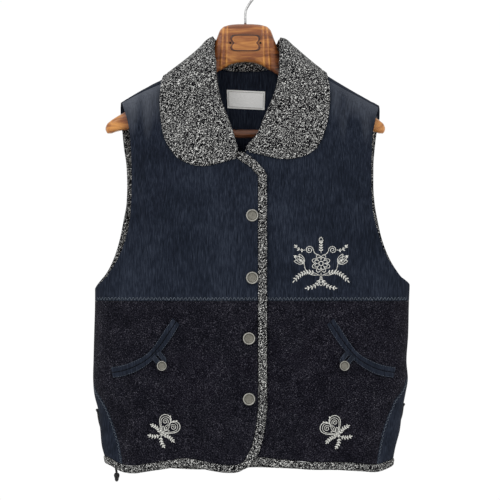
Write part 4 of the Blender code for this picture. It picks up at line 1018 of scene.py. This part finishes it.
necks = []
for yoke in yokeRows.values():
    necks.append(np.delete(along(yoke, "neck", faceFront)[:neckRows], 1, axis=0))
necks[0][-1] += (necks[0][-2] - necks[0][-1]) * collarForm["stepBack"]
neckBack = onCloth(backNeckRows["x"], backNeckRows["z"], backNeckRows["face"])
neckLine = np.concatenate([necks[0][::-1], neckBack, necks[1]])
rows = np.arange(len(collarRows["rise"]))
neckAt = np.concatenate([rows[: neckRows - 1], backNeckRows["collarRow"], rows[1 - neckRows :]])
at = np.linspace(0, len(rows) - 1, collarForm["columns"])
neckLine = told(straight, neckAt, neckLine, at)
roll, edge = (
    told(smooth, rows, along(collarRows, name, collarRows["face"]), at) for name in ("roll", "edge")
)
rise = smooth(rows, collarRows["rise"], at)[None]
onRight = (at < neckRows)[None]

# The leaf lies over its form, sinks in the stitched line beside its edge as a bell curve, and rounds off at
# the rim as a circle. The crest of its roll is rounded over as a parabola, most at the shoulders where it
# stands high.
shares = np.linspace(0, 1, collarForm["rows"])[:, None] ** collarForm["rowPower"]
places = acrossCollar(roll, edge, shares)
points = surface(places)
leafWidth = np.linalg.norm(points[-1] - points[0], axis=-1)[None]
inset = (1 - shares) * leafWidth
high = (rise - collarForm["lift"]) * (1 - shares) ** collarForm["fallOff"]
high = high - collarForm["groove"] * bell((inset - collarForm["stitchLine"]) / collarForm["grooveWidth"])
crest = collarForm["crest"] * rising(rise, collarForm["crestFrom"], collarForm["crestRun"])
high = high - crest * np.clip(1 - shares * leafWidth / collarForm["crestWidth"], 0, 1) ** 2
rimShare = np.clip(1 - inset / collarForm["rimWidth"], 0, 1)
high = high - collarForm["rim"] * (1 - np.sqrt(1 - rimShare**2))
noise = softNoise(at[None] * collarForm["softAcross"], shares * collarForm["softDown"], collarForm["seed"])
high = high + collarForm["soft"] * noise * (1 - shares)
lap = frontLift(places, "right") * onRight
collarLeaf = sheetPiece("look_collar_leaf", places, collarForm["lift"] + high + lap, "tweed")

shares = np.linspace(0, 1, collarForm["standRows"])[:, None]
places = acrossCollar(neckLine, roll, shares)
high = (rise - walls["tweed"] - 2 * seamGap) * shares - crest * shares**3
collarStand = sheetPiece("look_collar_stand", places, high + frontLift(places, "right") * onRight, "tweed")


print("pockets and label")
pocketForm = {
    "rows": 60, "columns": 7, "puff": 0.0005, "slit": 0.0008, "weltLift": 3 * seamGap + walls["trim"],
    "weltWear": 0.02, "stitchInset": 0.12,
}
# The tab is a strap bent in a loop, its middle at the slit, leaning towards the centre front
tabForm = {
    "top": (-0.1420, -0.6070), "lean": math.radians(40), "leg": 0.0125, "strap": 0.0085, "bend": 0.0052,
    "lift": pocketForm["weltLift"] + seamGap + walls["trim"], "wear": 0.08, "bendPoints": 24, "legPoints": 8,
    "stitches": {"inner": -0.36, "outer": 0.36},
}
# Running stitches: length, gap, width, height, and how far they lie out from their cloth
stitchForm = {
    "topstitch": (0.0030, 0.0009, 0.00040, 0.00030, 0.0004),
    "tab": (0.0024, 0.0008, 0.00035, 0.00028, 0.0003),
    "border": (0.0020, 0.0001, 0.00090, 0.00020, -0.0004),
}
grainForm = {"shares": (0.22, 0.78), "under": 0.3}


def mirrored(points, side):
    # Points of the right pocket, or the left one's over the middle line of the two
    points = np.array(points, dtype=float)
    if side == "left":
        points[..., 0] = 2 * pocketMirror - points[..., 0]
    return points


def grains(name, starts, ends, normals, width, height, material, slot):
    # Stitches as closed grains: a point, two diamonds about a quarter and three quarters along, and a point
    # again
    ahead = ends - starts
    length = np.linalg.norm(ahead, axis=1, keepdims=True)
    ahead = ahead / np.maximum(length, 1e-9)
    side = np.cross(ahead, normals)
    side /= np.maximum(np.linalg.norm(side, axis=1, keepdims=True), 1e-9)
    width = np.broadcast_to(width, length.shape) / 2
    diamonds = []
    for share in grainForm["shares"]:
        centre = starts + ahead * length * share
        under = centre - normals * height * grainForm["under"]
        diamonds += [centre + side * width, centre + normals * height, centre - side * width, under]
    points = np.stack([starts, *diamonds, ends], axis=1)
    ends = [(0, 1, 2), (0, 2, 3), (0, 3, 4), (0, 4, 1), (9, 6, 5), (9, 7, 6), (9, 8, 7), (9, 5, 8)]
    flanks = [(5, 6, 2, 1), (6, 7, 3, 2), (7, 8, 4, 3), (8, 5, 1, 4)]
    step = np.arange(len(points))[:, None, None] * points.shape[1]
    faces = []
    for kind in (ends, flanks):
        faces += (np.array(kind) + step).reshape(-1, len(kind[0])).tolist()
    return makeMesh(name, points, faces, material)


def runThread(name, places, lift, kind, material, slot):
    # A running stitch along a line of places: even stitches with gaps
    length, gap, width, height, out = stitchForm[kind]
    points = draped(places, lift + out)
    run = lengths(points)
    start = np.arange(max(int(run[-1] / (length + gap)), 1)) * (length + gap) + gap / 2
    a, b = told(straight, run, points, start), told(straight, run, points, start + length)
    return grains(name, a, b, told(straight, run, outward(places), start), width, height, material, slot)


def tabLine(path, share, side):
    # A line beside the middle of a tab's strap, turned and moved to its place
    lean = tabForm["lean"]
    turned = np.array([[math.cos(lean), math.sin(lean)], [-math.sin(lean), math.cos(lean)]])
    line = ribbon(path, share * tabForm["strap"]) @ turned + tabForm["top"]
    return placesOf(mirrored(line, side), faceFront)


def pocketPieces(side):
    # Two welts with their topstitching and a tab with its own
    rows = np.arange(len(pocketRows["upperX"]))
    at = np.linspace(0, len(rows) - 1, pocketForm["rows"])
    lines = {}
    for name in ("upper", "lower"):
        line = mirrored(np.stack([pocketRows[name + "X"], pocketRows[name + "Z"]], axis=1), side)
        lines[name] = told(smooth, rows, line, at)
    middle = (lines["upper"] + lines["lower"]) / 2
    lift = pocketForm["weltLift"]
    found = []
    for name, line in lines.items():
        out = line - middle
        lip = middle + out * (pocketForm["slit"] / 2 / np.linalg.norm(out, axis=1, keepdims=True))
        edges = placesOf(line, faceFront), placesOf(lip, faceFront)
        found.append(stripPiece(
            f"look_pocket_welt_{name}_{side}", *edges, lift, None, "trim", pocketForm, pocketForm["weltWear"],
        ))
        inner = placesOf(line + (middle - line) * pocketForm["stitchInset"], faceFront)
        stitchName = f"look_topstitch_{name}_{side}"
        found.append(runThread(stitchName, inner, lift, "topstitch", seamThread, "denim"))

    bend = np.linspace(math.pi, 2 * math.pi, tabForm["bendPoints"])
    reach, leg, count = tabForm["bend"], tabForm["leg"], tabForm["legPoints"]
    loop = np.stack([reach * np.cos(bend), -leg + reach * np.sin(bend)], axis=1)
    legs = np.stack([np.full(count, -reach), np.linspace(0, -leg, count + 1)[:-1]], axis=1)
    path = np.concatenate([legs, loop, legs[::-1] * [-1, 1]])
    edges = [tabLine(path, share, side) for share in (-0.5, 0.5)]
    found.append(stripPiece(
        f"look_pocket_tab_{side}", *edges, tabForm["lift"], None, "trim", pocketForm, tabForm["wear"],
    ))
    for name, share in tabForm["stitches"].items():
        line = tabLine(path, share, side)
        stitchName = f"look_tab_stitch_{name}_{side}"
        found.append(runThread(stitchName, line, tabForm["lift"], "tab", seamThread, "denim"))
    return found


pockets = {side: pocketPieces(side) for side in bothSides}

# A blank label with a plain woven border. Its corners go clockwise from the upper right as the wearer has it.
labelForm = {
    "corners": [(-0.030, -0.184), (0.032, -0.187), (0.031, -0.217), (-0.029, -0.214)], "columns": 44,
    "rows": 22,
    "inset": 2,
}
corners = np.array(labelForm["corners"])
across = np.linspace(0, 1, labelForm["columns"])[None, :, None]
down = np.linspace(0, 1, labelForm["rows"])[:, None, None]
upper = corners[0] + (corners[1] - corners[0]) * across
lower = corners[3] + (corners[2] - corners[3]) * across
places = placesOf(upper + (lower - upper) * down, faceBack)
labelLift = -walls["denim"] - seamGap
label = sheetPiece("look_neck_label", places, labelLift, "label")
inset = labelForm["inset"]
inner = slice(inset, -inset)
borderLift = labelLift - walls["label"]
borders = [
    runThread(f"look_label_border_{name}", places[cut], borderLift, "border", labelThread, "satin")
    for name, cut in (
        ("top", (inset, inner)), ("bottom", (-1 - inset, inner)), ("right", (inner, inset)),
        ("left", (inner, -1 - inset)),
    )
]


print("buttons")
# Tones: how dark all of it is, the field within the rim and the ring beside it, with where they lie and their
# width. Profile: shares of the radius and heights, from the middle of the face over the rim to the middle of
# the back.
buttonForm = {
    "radius": 0.0100, "pocketRadius": 0.0080, "clear": 0.0006, "steps": 48,
    "places": [(0.011, -0.387), (0.011, -0.486), (0.006, -0.582), (0.006, -0.678)],
    "pocket": (-0.1320, -0.6255),
    "tone": 0.10, "field": (0.50, 0.80, -0.10), "ring": (0.35, 0.72, 0.05),
    "profile": [
        (0.00, 0.150), (0.18, 0.152), (0.34, 0.148), (0.50, 0.150), (0.62, 0.160), (0.70, 0.190),
        (0.76, 0.235), (0.82, 0.295), (0.87, 0.325), (0.92, 0.318), (0.96, 0.280), (0.99, 0.215),
        (1.00, 0.150), (0.98, 0.060), (0.94, 0.0), (0.00, 0.0),
    ],
}


def buttonMesh(node, place, lift, radius):
    # A disc with a raised rim: the profile turned round the cloth's normal, darker in its middle and beside
    # the rim
    profile = np.array(buttonForm["profile"]) * [radius, buttonForm["radius"]]
    angle = turns(buttonForm["steps"])
    x, y = profile[1:-1, :1] * np.cos(angle)[None], profile[1:-1, :1] * np.sin(angle)[None]
    rings = np.stack([x, y, np.broadcast_to(profile[1:-1, 1:], x.shape)], axis=-1).reshape(-1, 3)
    points = np.concatenate([[[0, 0, profile[0, 1]]], rings, [[0, 0, 0]]])
    reach = np.linalg.norm(points[:, :2], axis=1) / radius
    (field, fieldAt, fieldRun), (ring, ringAt, ringWidth) = buttonForm["field"], buttonForm["ring"]
    dark = field * rising(reach, fieldAt, fieldRun) + ring * bell((reach - ringAt) / ringWidth)
    dark = dark + buttonForm["tone"]
    turned = np.array(Vector(outward(place)[0]).to_track_quat("Z", "Y").to_matrix())
    points = points @ turned.T + raised(place, lift)[0]
    piece = makeMesh("look_" + node, points, domeFaces(len(profile) - 2, len(angle)), silver, dark)
    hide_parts(node)
    return piece


for number, (x, z) in enumerate(buttonForm["places"], start=1):
    lift = lapRise + buttonForm["clear"]
    buttonMesh(f"front_button_{number}", onCloth([x], [z], faceFront), lift, buttonForm["radius"])
for side in bothSides:
    place = placesOf(mirrored([buttonForm["pocket"]], side), faceFront)
    lift = tabForm["lift"] + buttonForm["clear"]
    pockets[side].append(buttonMesh(f"pocket_button_{side}", place, lift, buttonForm["pocketRadius"]))


print("hanger")
hangerForm = {
    "stations": 340, "sides": 56, "squareness": 0.55, "broader": 0.09, "broaderFrom": 0.02,
    "broaderTo": (0.068, 0.022),
    "ribs": [(0.0262, 0.0275, 0.0013), (0.0318, 0.0352, 0.0014)], "ribRise": 0.0018, "ribTop": -0.085,
    "ribDrop": 0.060,
    "ribSide": 0.4, "even": 0.35,
}
# Painted light on the hanger, higher values lighter: a painted highlight on the low middle and on the rib
# crests, a little darker all over, painted shade on the flanks and a painted highlight at the tips. Each step
# has where it starts and its run.
paintedLightForm = {
    "low": 0.75, "lowTop": -0.100, "lowDrop": 0.045, "lowEnd": (0.034, -0.010), "crest": 0.85, "base": 0.15,
    "flank": 0.95, "flankStart": (0.040, 0.010), "flankEnd": (0.075, -0.015), "tip": 0.85,
    "tipStart": (0.185, 0.020),
}

# A loft of squared ovals from tip to tip, with two upright ribs as bell curves on each side of the middle
angle = turns(hangerForm["sides"])
across = np.sin(np.linspace(-quarter, quarter, hangerForm["stations"]))
even = hangerForm["even"]
reach = armRows["x"][-1] * (even * across + (1 - even) * across**3)
wide = np.abs(reach)
columns = ("top", "bottom", "halfDepth")
top, bottom, depth = (smooth(armRows["x"], armRows[column], wide) for column in columns)
swing, lofted = (squared(wave, hangerForm["squareness"]) for wave in (np.cos(angle), np.sin(angle)))
z = (top + bottom)[:, None] / 2 + (top - bottom)[:, None] / 2 * lofted
share = np.clip((hangerForm["ribTop"] - z) / hangerForm["ribDrop"], 0, 1)
ribHeight = sum(
    hangerForm["ribRise"] * bell((wide[:, None] - upperX - (lowerX - upperX) * share) / width)
    for upperX, lowerX, width in hangerForm["ribs"]
)
y = depth[:, None] * swing + ribHeight * np.sign(swing) * eased(np.abs(swing) / hangerForm["ribSide"])
shownTo, shownRun = hangerForm["broaderTo"]
broader = hangerForm["broader"] * eased(wide / hangerForm["broaderFrom"]) * rising(wide, shownTo, -shownRun)
points = np.stack([np.broadcast_to((reach * (1 + broader))[:, None], y.shape), y, z], axis=-1)
# Painted highlights on the low middle, the rib crests and the tips, and painted shade on the flanks
middleX, low = wide[:, None], np.clip((paintedLightForm["lowTop"] - z) / paintedLightForm["lowDrop"], 0, 1)
paintedLight = paintedLightForm["low"] * low * rising(middleX, *paintedLightForm["lowEnd"])
paintedLight = paintedLight + paintedLightForm["crest"] * ribHeight / hangerForm["ribRise"] - paintedLightForm["base"]
flanks = rising(middleX, *paintedLightForm["flankStart"]) * rising(middleX, *paintedLightForm["flankEnd"])
paintedLight = paintedLight - paintedLightForm["flank"] * flanks
paintedLight = paintedLight + paintedLightForm["tip"] * rising(middleX, *paintedLightForm["tipStart"])
hanger = makeMesh("look_hanger_body", points, loftFaces(len(reach), len(angle)), wood, paintedLight)
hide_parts("hanger_body")

# The plate over the middle: a squared oval bitten at its ends, with a bulged field and a raised rim. Its
# colour is darkened at the lip as painted shade and lighter in a band just inside, told by an amount, a start
# and a run.
plateForm = {
    "height": -0.1112, "halfWidth": 0.0240, "halfHeight": 0.0132, "notch": 0.0045, "wall": 0.0018,
    "squareness": 0.35,
    "steps": 120, "rings": 22, "rim": 0.0006, "rimAt": 0.93, "rimWidth": 0.04, "bulge": 0.0016,
    "poleRise": 0.0001,
    "biteShare": 0.8, "faceShare": 0.55, "lipShare": 0.3, "tone": 0.25, "lip": (1.35, 0.84, 0.06),
    "groove": (0.35, 0.80, 0.03), "grooveEnd": 0.87,
}
plateFace = -armRows["halfDepth"][0] - seamGap
angle = np.linspace(0, 2 * math.pi, plateForm["steps"], endpoint=False)
outlineX = plateForm["halfWidth"] * squared(np.cos(angle), plateForm["squareness"])
outlineZ = plateForm["halfHeight"] * squared(np.sin(angle), plateForm["squareness"])
bite = plateForm["notch"] * bell(outlineZ / (plateForm["notch"] * plateForm["biteShare"]))
outlineX = np.sign(outlineX) * np.maximum(np.abs(outlineX) - bite, 0)
shares = np.sin(np.linspace(0, quarter, plateForm["rings"]))[1:]
height = plateForm["wall"] * plateForm["faceShare"] + plateForm["bulge"] * (1 - shares**2)
height += plateForm["rim"] * bell((shares - plateForm["rimAt"]) / plateForm["rimWidth"])
height[-1] = plateForm["wall"] * plateForm["lipShare"]
x, z = shares[:, None] * outlineX[None], plateForm["height"] + shares[:, None] * outlineZ[None]
front = np.stack([x, np.broadcast_to(plateFace - height[:, None], x.shape), z], axis=-1)
backRing = front[-1:].copy()
backRing[..., 1] = plateFace
poles = [[[0, y, plateForm["height"]]] for y in (plateFace - height[0] - plateForm["poleRise"], plateFace)]
points = np.concatenate([poles[0], front.reshape(-1, 3), backRing.reshape(-1, 3), poles[1]])
edgeShare = np.concatenate([[0], np.repeat(np.append(shares, 1.0), len(angle)), [1]])
(lip, *lipStep), (groove, *grooveStep) = plateForm["lip"], plateForm["groove"]
# Painted shade at the plate's lip, and a lighter band just inside it
plateTone = plateForm["tone"] - lip * rising(edgeShare, *lipStep)
plateTone = plateTone + groove * rising(edgeShare, *grooveStep) * (edgeShare < plateForm["grooveEnd"])
plate = makeMesh("look_hanger_plate", points, domeFaces(len(shares) + 1, len(angle)), wood, plateTone)
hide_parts("hanger_plate")

# The hook: the stem's points and then an arc, round wire all along
hookForm = {
    "wire": 0.0020, "radius": 0.0224, "start": -50, "end": 200, "turns": 90, "stemRings": 26, "sides": 16,
}
hookStem = np.array([
    (0.0, 0.0, -0.0800), (0.0, 0.0, -0.0700), (0.0002, 0.0, -0.0625), (0.0022, 0.0, -0.0550),
    (0.0068, 0.0, -0.0474), (0.0108, 0.0, -0.0420),
])
angle = np.radians(np.linspace(hookForm["start"], hookForm["end"], hookForm["turns"]))
arc = hookForm["radius"] * np.stack([np.cos(angle), np.zeros_like(angle), np.sin(angle)], axis=1)
arc += [0, 0, hookForm["wire"] - hookForm["radius"]]
at = np.linspace(0, len(hookStem) - 1, hookForm["stemRings"])
stem = told(smooth, np.arange(len(hookStem)), hookStem, at)
path = np.concatenate([stem[:-1], arc])
hook = tubeMesh("look_hanger_hook", path, hookForm["wire"], steel, sides=hookForm["sides"])
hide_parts("hanger_hook")

# The bar: a turned round rod with eased ends, its whole colour darkened as painted shade
barForm = {
    "radius": 0.0068, "height": -0.2557, "halfLength": 0.180, "rings": 40, "sides": 32, "stainAndShade": -0.75,
    "ending": 0.003, "endRun": 0.0032,
}
barX = barForm["halfLength"] * np.sin(np.linspace(-quarter, quarter, barForm["rings"]))
ending = np.clip((np.abs(barX) - barForm["halfLength"] + barForm["ending"]) / barForm["endRun"], 0, 1)
barRound = barForm["radius"] * np.sqrt(1 - ending**2)[:, None]
angle = turns(barForm["sides"])
y, z = barRound * np.cos(angle), barForm["height"] + barRound * np.sin(angle)
points = np.stack([np.broadcast_to(barX[:, None], y.shape), y, z], axis=-1)
bar = makeMesh("look_hanger_bar", points, loftFaces(*y.shape), wood, barForm["stainAndShade"])
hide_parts("hanger_bar")
for side in bothSides:
    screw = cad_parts[f"hanger_screw_{side}"]
    for materialSlot in screw.material_slots:
        materialSlot.material = blackSteel


print("seam stitching")
seamForm = {
    "period": 0.0060, "high": -0.5162, "low": -0.5220, "lift": 0.0005, "width": 0.0008, "height": 0.0005,
    "points": 400,
    "insertNear": 0.0036, "insertFar": 0.0006, "insertHeight": 0.0004, "insertPoints": 200,
}


def zigzagThread(name, near, far, lifts, height):
    # A zigzag between two lines of places that run side by side
    a, b = draped(near, lifts[0]), draped(far, lifts[1])
    run = lengths(a)
    count = int(run[-1] / (seamForm["period"] / 2))
    stops = np.arange(count + 1) * seamForm["period"] / 2
    onA, onB, normals = (told(straight, run, line, stops) for line in (a, b, outward(near)))
    odd = (np.arange(count + 1) % 2)[:, None]
    corner = onA * (1 - odd) + onB * odd
    return grains(name, corner[:-1], corner[1:], normals[:-1], seamForm["width"], height, seamThread, "denim")


def yokeZigzag(name, startX, endX, face, side=None):
    # A zigzag just over the yoke seam, its points even by their turn round the body
    edges = []
    for z in (seamForm["high"], seamForm["low"]):
        middle, half = middleAndHalf(np.array(z))
        start, end = np.arcsin(np.clip((np.array([startX, endX]) - middle) / half, -1, 1))
        x = middle + half * np.sin(start + (end - start) * np.linspace(0, 1, seamForm["points"]))
        edges.append(onCloth(x, np.full_like(x, z), face))
    lifts = [seamForm["lift"] + frontLift(edge, side) for edge in edges]
    return zigzagThread(name, *edges, lifts, seamForm["height"])


def insertZigzag(name, side, face):
    # The same zigzag beside an insert's curved seam
    shown = seenFromFront(refined([seamEdge(side, face)], seamForm["insertPoints"], insertRow + apexRows)[0])
    out = 1 if side == "left" else -1
    lines = [placesOf(ribbon(shown, out * seamForm[name]), face) for name in ("insertNear", "insertFar")]
    return zigzagThread(name, *lines, [seamForm["lift"]] * 2, seamForm["insertHeight"])


zigzags = {
    "right": yokeZigzag("look_zigzag_right", -0.236, 0.0190, faceFront, "right"),
    "left": yokeZigzag("look_zigzag_left", 0.0015, 0.258, faceFront),
    "back": yokeZigzag("look_zigzag_back", -0.236, 0.258, faceBack),
}
insertZigzags = {side: insertZigzag(f"look_insert_zigzag_{side}", side, faceFront) for side in bothSides}


print("embroidery")
# Own folk motifs, in metres about each one's middle: a rosette bouquet on the chest, a leafy heart over each
# hem
embroideryForm = {
    "stitch": 0.0021, "overlap": 0.12, "line": 0.00125, "fine": 0.85, "seed": 0.0019, "height": 0.0006,
    "lift": 0.0003,
    "chest": (0.1203, -0.4630), "rightHem": (-0.1240, -0.7226), "leftHem": (0.1390, -0.7242),
    "tilt": math.radians(-37),
    "stalk": 0.8, "leafFrom": 0.22, "leafTo": 0.92, "leafTurn": 0.85, "petalPower": 0.8,
}
lineWidth = embroideryForm["line"]
fineWidth = lineWidth * embroideryForm["fine"]


def turnedBy(points, angle):
    # Points turned anticlockwise by an angle
    c, s = math.cos(angle), math.sin(angle)
    return np.asarray(points) @ np.array([[c, s], [-s, c]])


def stitched(path, width=lineWidth):
    # A path told by even stitches that overlap a little: starts, ends and widths
    path = np.asarray(path)
    run = lengths(path)
    stops = np.linspace(0, run[-1], max(int(round(run[-1] / embroideryForm["stitch"])), 2) + 1)
    points = told(straight, run, path, stops)
    step = np.diff(points, axis=0) * embroideryForm["overlap"]
    return points[:-1] - step, points[1:] + step, np.full((len(points) - 1, 1), width)


def bowed(start, end, bow, count=40):
    # A curve between two points, bowed aside by a parabola
    t = np.linspace(0, 1, count)[:, None]
    start, end = np.array(start), np.array(end)
    aside = np.array([-(end - start)[1], (end - start)[0]])
    return start + (end - start) * t + aside * bow * 4 * t * (1 - t)


def petal(root, angle, length, width):
    # A closed pointed loop: its half width is a sine of the way along
    t = np.linspace(0, 1, 30)
    side = width / 2 * np.sin(math.pi * t ** embroideryForm["petalPower"])
    loop = np.concatenate([np.stack([side, length * t], axis=1), np.stack([-side, length * t], axis=1)[::-1]])
    return turnedBy(loop, angle) + np.array(root)


def curled(centre, size, shrink, half, count):
    # A spiral that winds inwards about a point, by so many half turns, its radius shrinking evenly
    curl = np.linspace(0, half * math.pi, count)
    reach = size * (1 - curl / curl[-1] * shrink)
    return np.stack([centre[0] - reach * np.cos(curl), centre[1] + reach * np.sin(curl)], axis=1)


def seeds(places, angles, length, width):
    # Single fat stitches that start at each place
    places, angles = np.asarray(places), np.asarray(angles)
    ahead = np.stack([-np.sin(angles), np.cos(angles)], axis=1) * length
    return places, places + ahead, np.full((len(places), 1), width)


def spray(start, end, bow, leaves, leaf):
    # A bowed stalk with leaves in pairs, the last one at its tip
    stalk = bowed(start, end, bow)
    rows = np.arange(len(stalk))
    at = np.linspace(embroideryForm["leafFrom"], embroideryForm["leafTo"], leaves) * (len(stalk) - 1)
    points = told(straight, rows, stalk, at)
    step = np.gradient(stalk, axis=0)
    heading = np.interp(at, rows, np.unwrap(np.arctan2(-step[:, 0], step[:, 1])))
    width, turn = embroideryForm["seed"], embroideryForm["leafTurn"]
    found = [stitched(stalk, lineWidth * embroideryForm["stalk"])]
    found += [seeds(points, heading + side * turn, leaf, width) for side in (-1, 1)]
    return found + [seeds(stalk[-1:], heading[-1:], leaf, width)]


def paired(parts):
    # The same stitches and their mirror image over the middle line
    return [(a * [side, 1], b * [side, 1], w) for a, b, w in parts for side in (1, -1)]


def chestMotif():
    # A rosette whose rim is the size of a sine, with tulips, spirals and sprays round it
    t = np.linspace(0, 2 * math.pi, 240)
    circle = np.stack([np.cos(t), np.sin(t)], axis=1)
    parts = []
    for size, middle in ((0.0150, 0.62), (0.0108, 0.66)):
        parts.append(stitched(circle * (size * (middle + (1 - middle) * np.abs(np.sin(4 * t))))[:, None]))
    parts.append(stitched(circle * 0.0036, lineWidth * 1.3))
    spokes = np.arange(8) * math.pi / 4
    parts.append(seeds(np.stack([-np.sin(spokes), np.cos(spokes)], axis=1) * 0.0048, spokes, 0.0036, 0.0014))
    halves = []
    for angle, length, width in ((-0.95, 0.0190, 0.0085), (-0.50, 0.0165, 0.0070), (-1.40, 0.0165, 0.0070)):
        halves.append(stitched(petal((0.0270, 0.0010), angle, length, width)))
    halves += spray((0.0290, 0.0024), (0.0410, 0.0110), 0.0, 2, 0.0030)
    halves.append(stitched(bowed((0.0030, -0.0180), (0.0270, 0.0010), -0.28)))
    halves += spray((0.0020, -0.0190), (0.0420, -0.0270), 0.22, 8, 0.0050)
    halves += spray((0.0010, -0.0200), (0.0215, -0.0390), -0.20, 5, 0.0046)
    halves.append(stitched(curled((0.0185, 0.0215), 0.0064, 0.80, 3.6, 120)))
    halves.append(stitched(bowed((0.0121, 0.0215), (0.0060, 0.0140), 0.15)))
    halves += spray((0.0250, 0.0215), (0.0400, 0.0270), -0.18, 3, 0.0040)
    parts += paired(halves)
    parts += spray((0.0, 0.0160), (0.0, 0.0330), 0.0, 4, 0.0042)
    parts.append(stitched(petal((0.0, 0.0330), 0.0, 0.0095, 0.0062)))
    parts.append(stitched(bowed((0.0, -0.0150), (0.0, -0.0250), 0.0)))
    return parts + [stitched(petal((0.0, -0.0250), math.pi, 0.0110, 0.0070))]


def hemMotif():
    # A heart of sines and cosines in two outlines, with curls and petals in it and sprays below
    t = np.linspace(0, 2 * math.pi, 200)
    heartZ = 13 * np.cos(t) - 5 * np.cos(2 * t) - 2 * np.cos(3 * t) - np.cos(4 * t) + 2.5
    heart = np.stack([16 * np.sin(t) ** 3, heartZ], axis=1)
    parts = [stitched(heart * 0.00112, lineWidth * 1.1), stitched(heart * 0.00092, fineWidth)]
    halves = [stitched(curled((0.0078, 0.0056), 0.0050, 0.78, 3.2, 90), fineWidth)]
    halves.append(stitched(petal((0.0010, -0.0125), -0.42, 0.0120, 0.0050), fineWidth))
    halves.append(seeds([(0.0022, 0.0118), (0.0052, 0.0150)], [-0.3, -0.5], 0.0036, 0.0022))
    for angle, length, bow, leaves in ((-1.36, 0.0200, 0.14, 5), (-2.30, 0.0170, -0.12, 4)):
        start = np.array([0.0008, -0.0160])
        end = start + length * np.array([-math.sin(angle), math.cos(angle)])
        halves += spray(start, end, bow, leaves, 0.0042)
    parts += paired(halves)
    parts.append(stitched(petal((0.0, -0.0060), 0.0, 0.0130, 0.0058), fineWidth))
    return parts + [seeds([(0.0, -0.0030), (0.0, 0.0010)], [0.0, 0.0], 0.0030, 0.0016)]


def embroider(name, parts, centre, tilt, flip, side):
    # A motif's stitches turned, flipped and moved to their middle, and laid on the cloth
    starts, ends, widths = (np.concatenate([part[k] for part in parts]) for k in range(3))
    moved = (turnedBy(points, tilt) * [flip, 1] + np.array(centre) for points in (starts, ends))
    laid = [placesOf(points, faceFront) for points in moved]
    points = [draped(places, embroideryForm["lift"] + frontLift(places, side)) for places in laid]
    return grains(name, *points, outward(laid[0]), widths, embroideryForm["height"], cream, "satin")


tilt = embroideryForm["tilt"]
chest = embroider("look_embroidery_chest", chestMotif(), embroideryForm["chest"], 0.0, 1, "left")
hems = {
    side: embroider(f"look_embroidery_hem_{side}", hemMotif(), embroideryForm[side + "Hem"], tilt, flip, side)
    for side, flip in (("right", 1), ("left", -1))
}


for side in bothSides:
    top, bottom = fronts[side]
    declareSheet(top)
    declareSheet(bottom)
    declareSheet(inserts[side])
declareSheet(backYoke)
declareSheet(backSkirt)
declareSheet(collarStand)
declareSheet(collarLeaf)


print("floor and light")
# Lamps: where each stands, its size and its power
studio = {
    "floor": -1.6, "size": 6.0, "paper": "#E4E4E2", "world": "#FFFFFF", "strength": 1.02,
    "aim": (0, 0, -0.42),
    "lamps": {
        "key": ((-1.5, -2.3, 1.3), 2.2, 26), "fill": ((2.2, -2.0, 0.3), 2.0, 5),
        "top": ((0.0, 0.3, 2.2), 2.0, 8),
    },
}
half = studio["size"] / 2
floorMesh = bpy.data.meshes.new("floor")
floorCorners = [(-half, -half, 0), (half, -half, 0), (half, half, 0), (-half, half, 0)]
floorMesh.from_pydata(floorCorners, [], [(0, 1, 2, 3)])
floor = bpy.data.objects.new("floor", floorMesh)
floor.location = (0, 0, studio["floor"])
bpy.context.scene.collection.objects.link(floor)
paper, place = newMaterial("Pale paper floor")
shaderOf(paper, {"Base Color": studio["paper"], "Roughness": 0.9}, {})
floorMesh.materials.append(paper)

world = bpy.data.worlds.new("Bright studio")
world.use_nodes = True
backdrop = world.node_tree.nodes["Background"]
backdrop.inputs["Color"].default_value = linearColor(studio["world"])
backdrop.inputs["Strength"].default_value = studio["strength"]
bpy.context.scene.world = world
for name, (place, size, power) in studio["lamps"].items():
    lamp = bpy.data.lights.new(name, "AREA")
    lamp.shape = "SQUARE"
    lamp.size = size
    lamp.energy = power
    holder = bpy.data.objects.new(name, lamp)
    holder.location = place
    holder.rotation_euler = (Vector(studio["aim"]) - Vector(place)).to_track_quat("-Z", "Y").to_euler()
    bpy.context.scene.collection.objects.link(holder)
bpy.context.scene.view_settings.view_transform = "Standard"
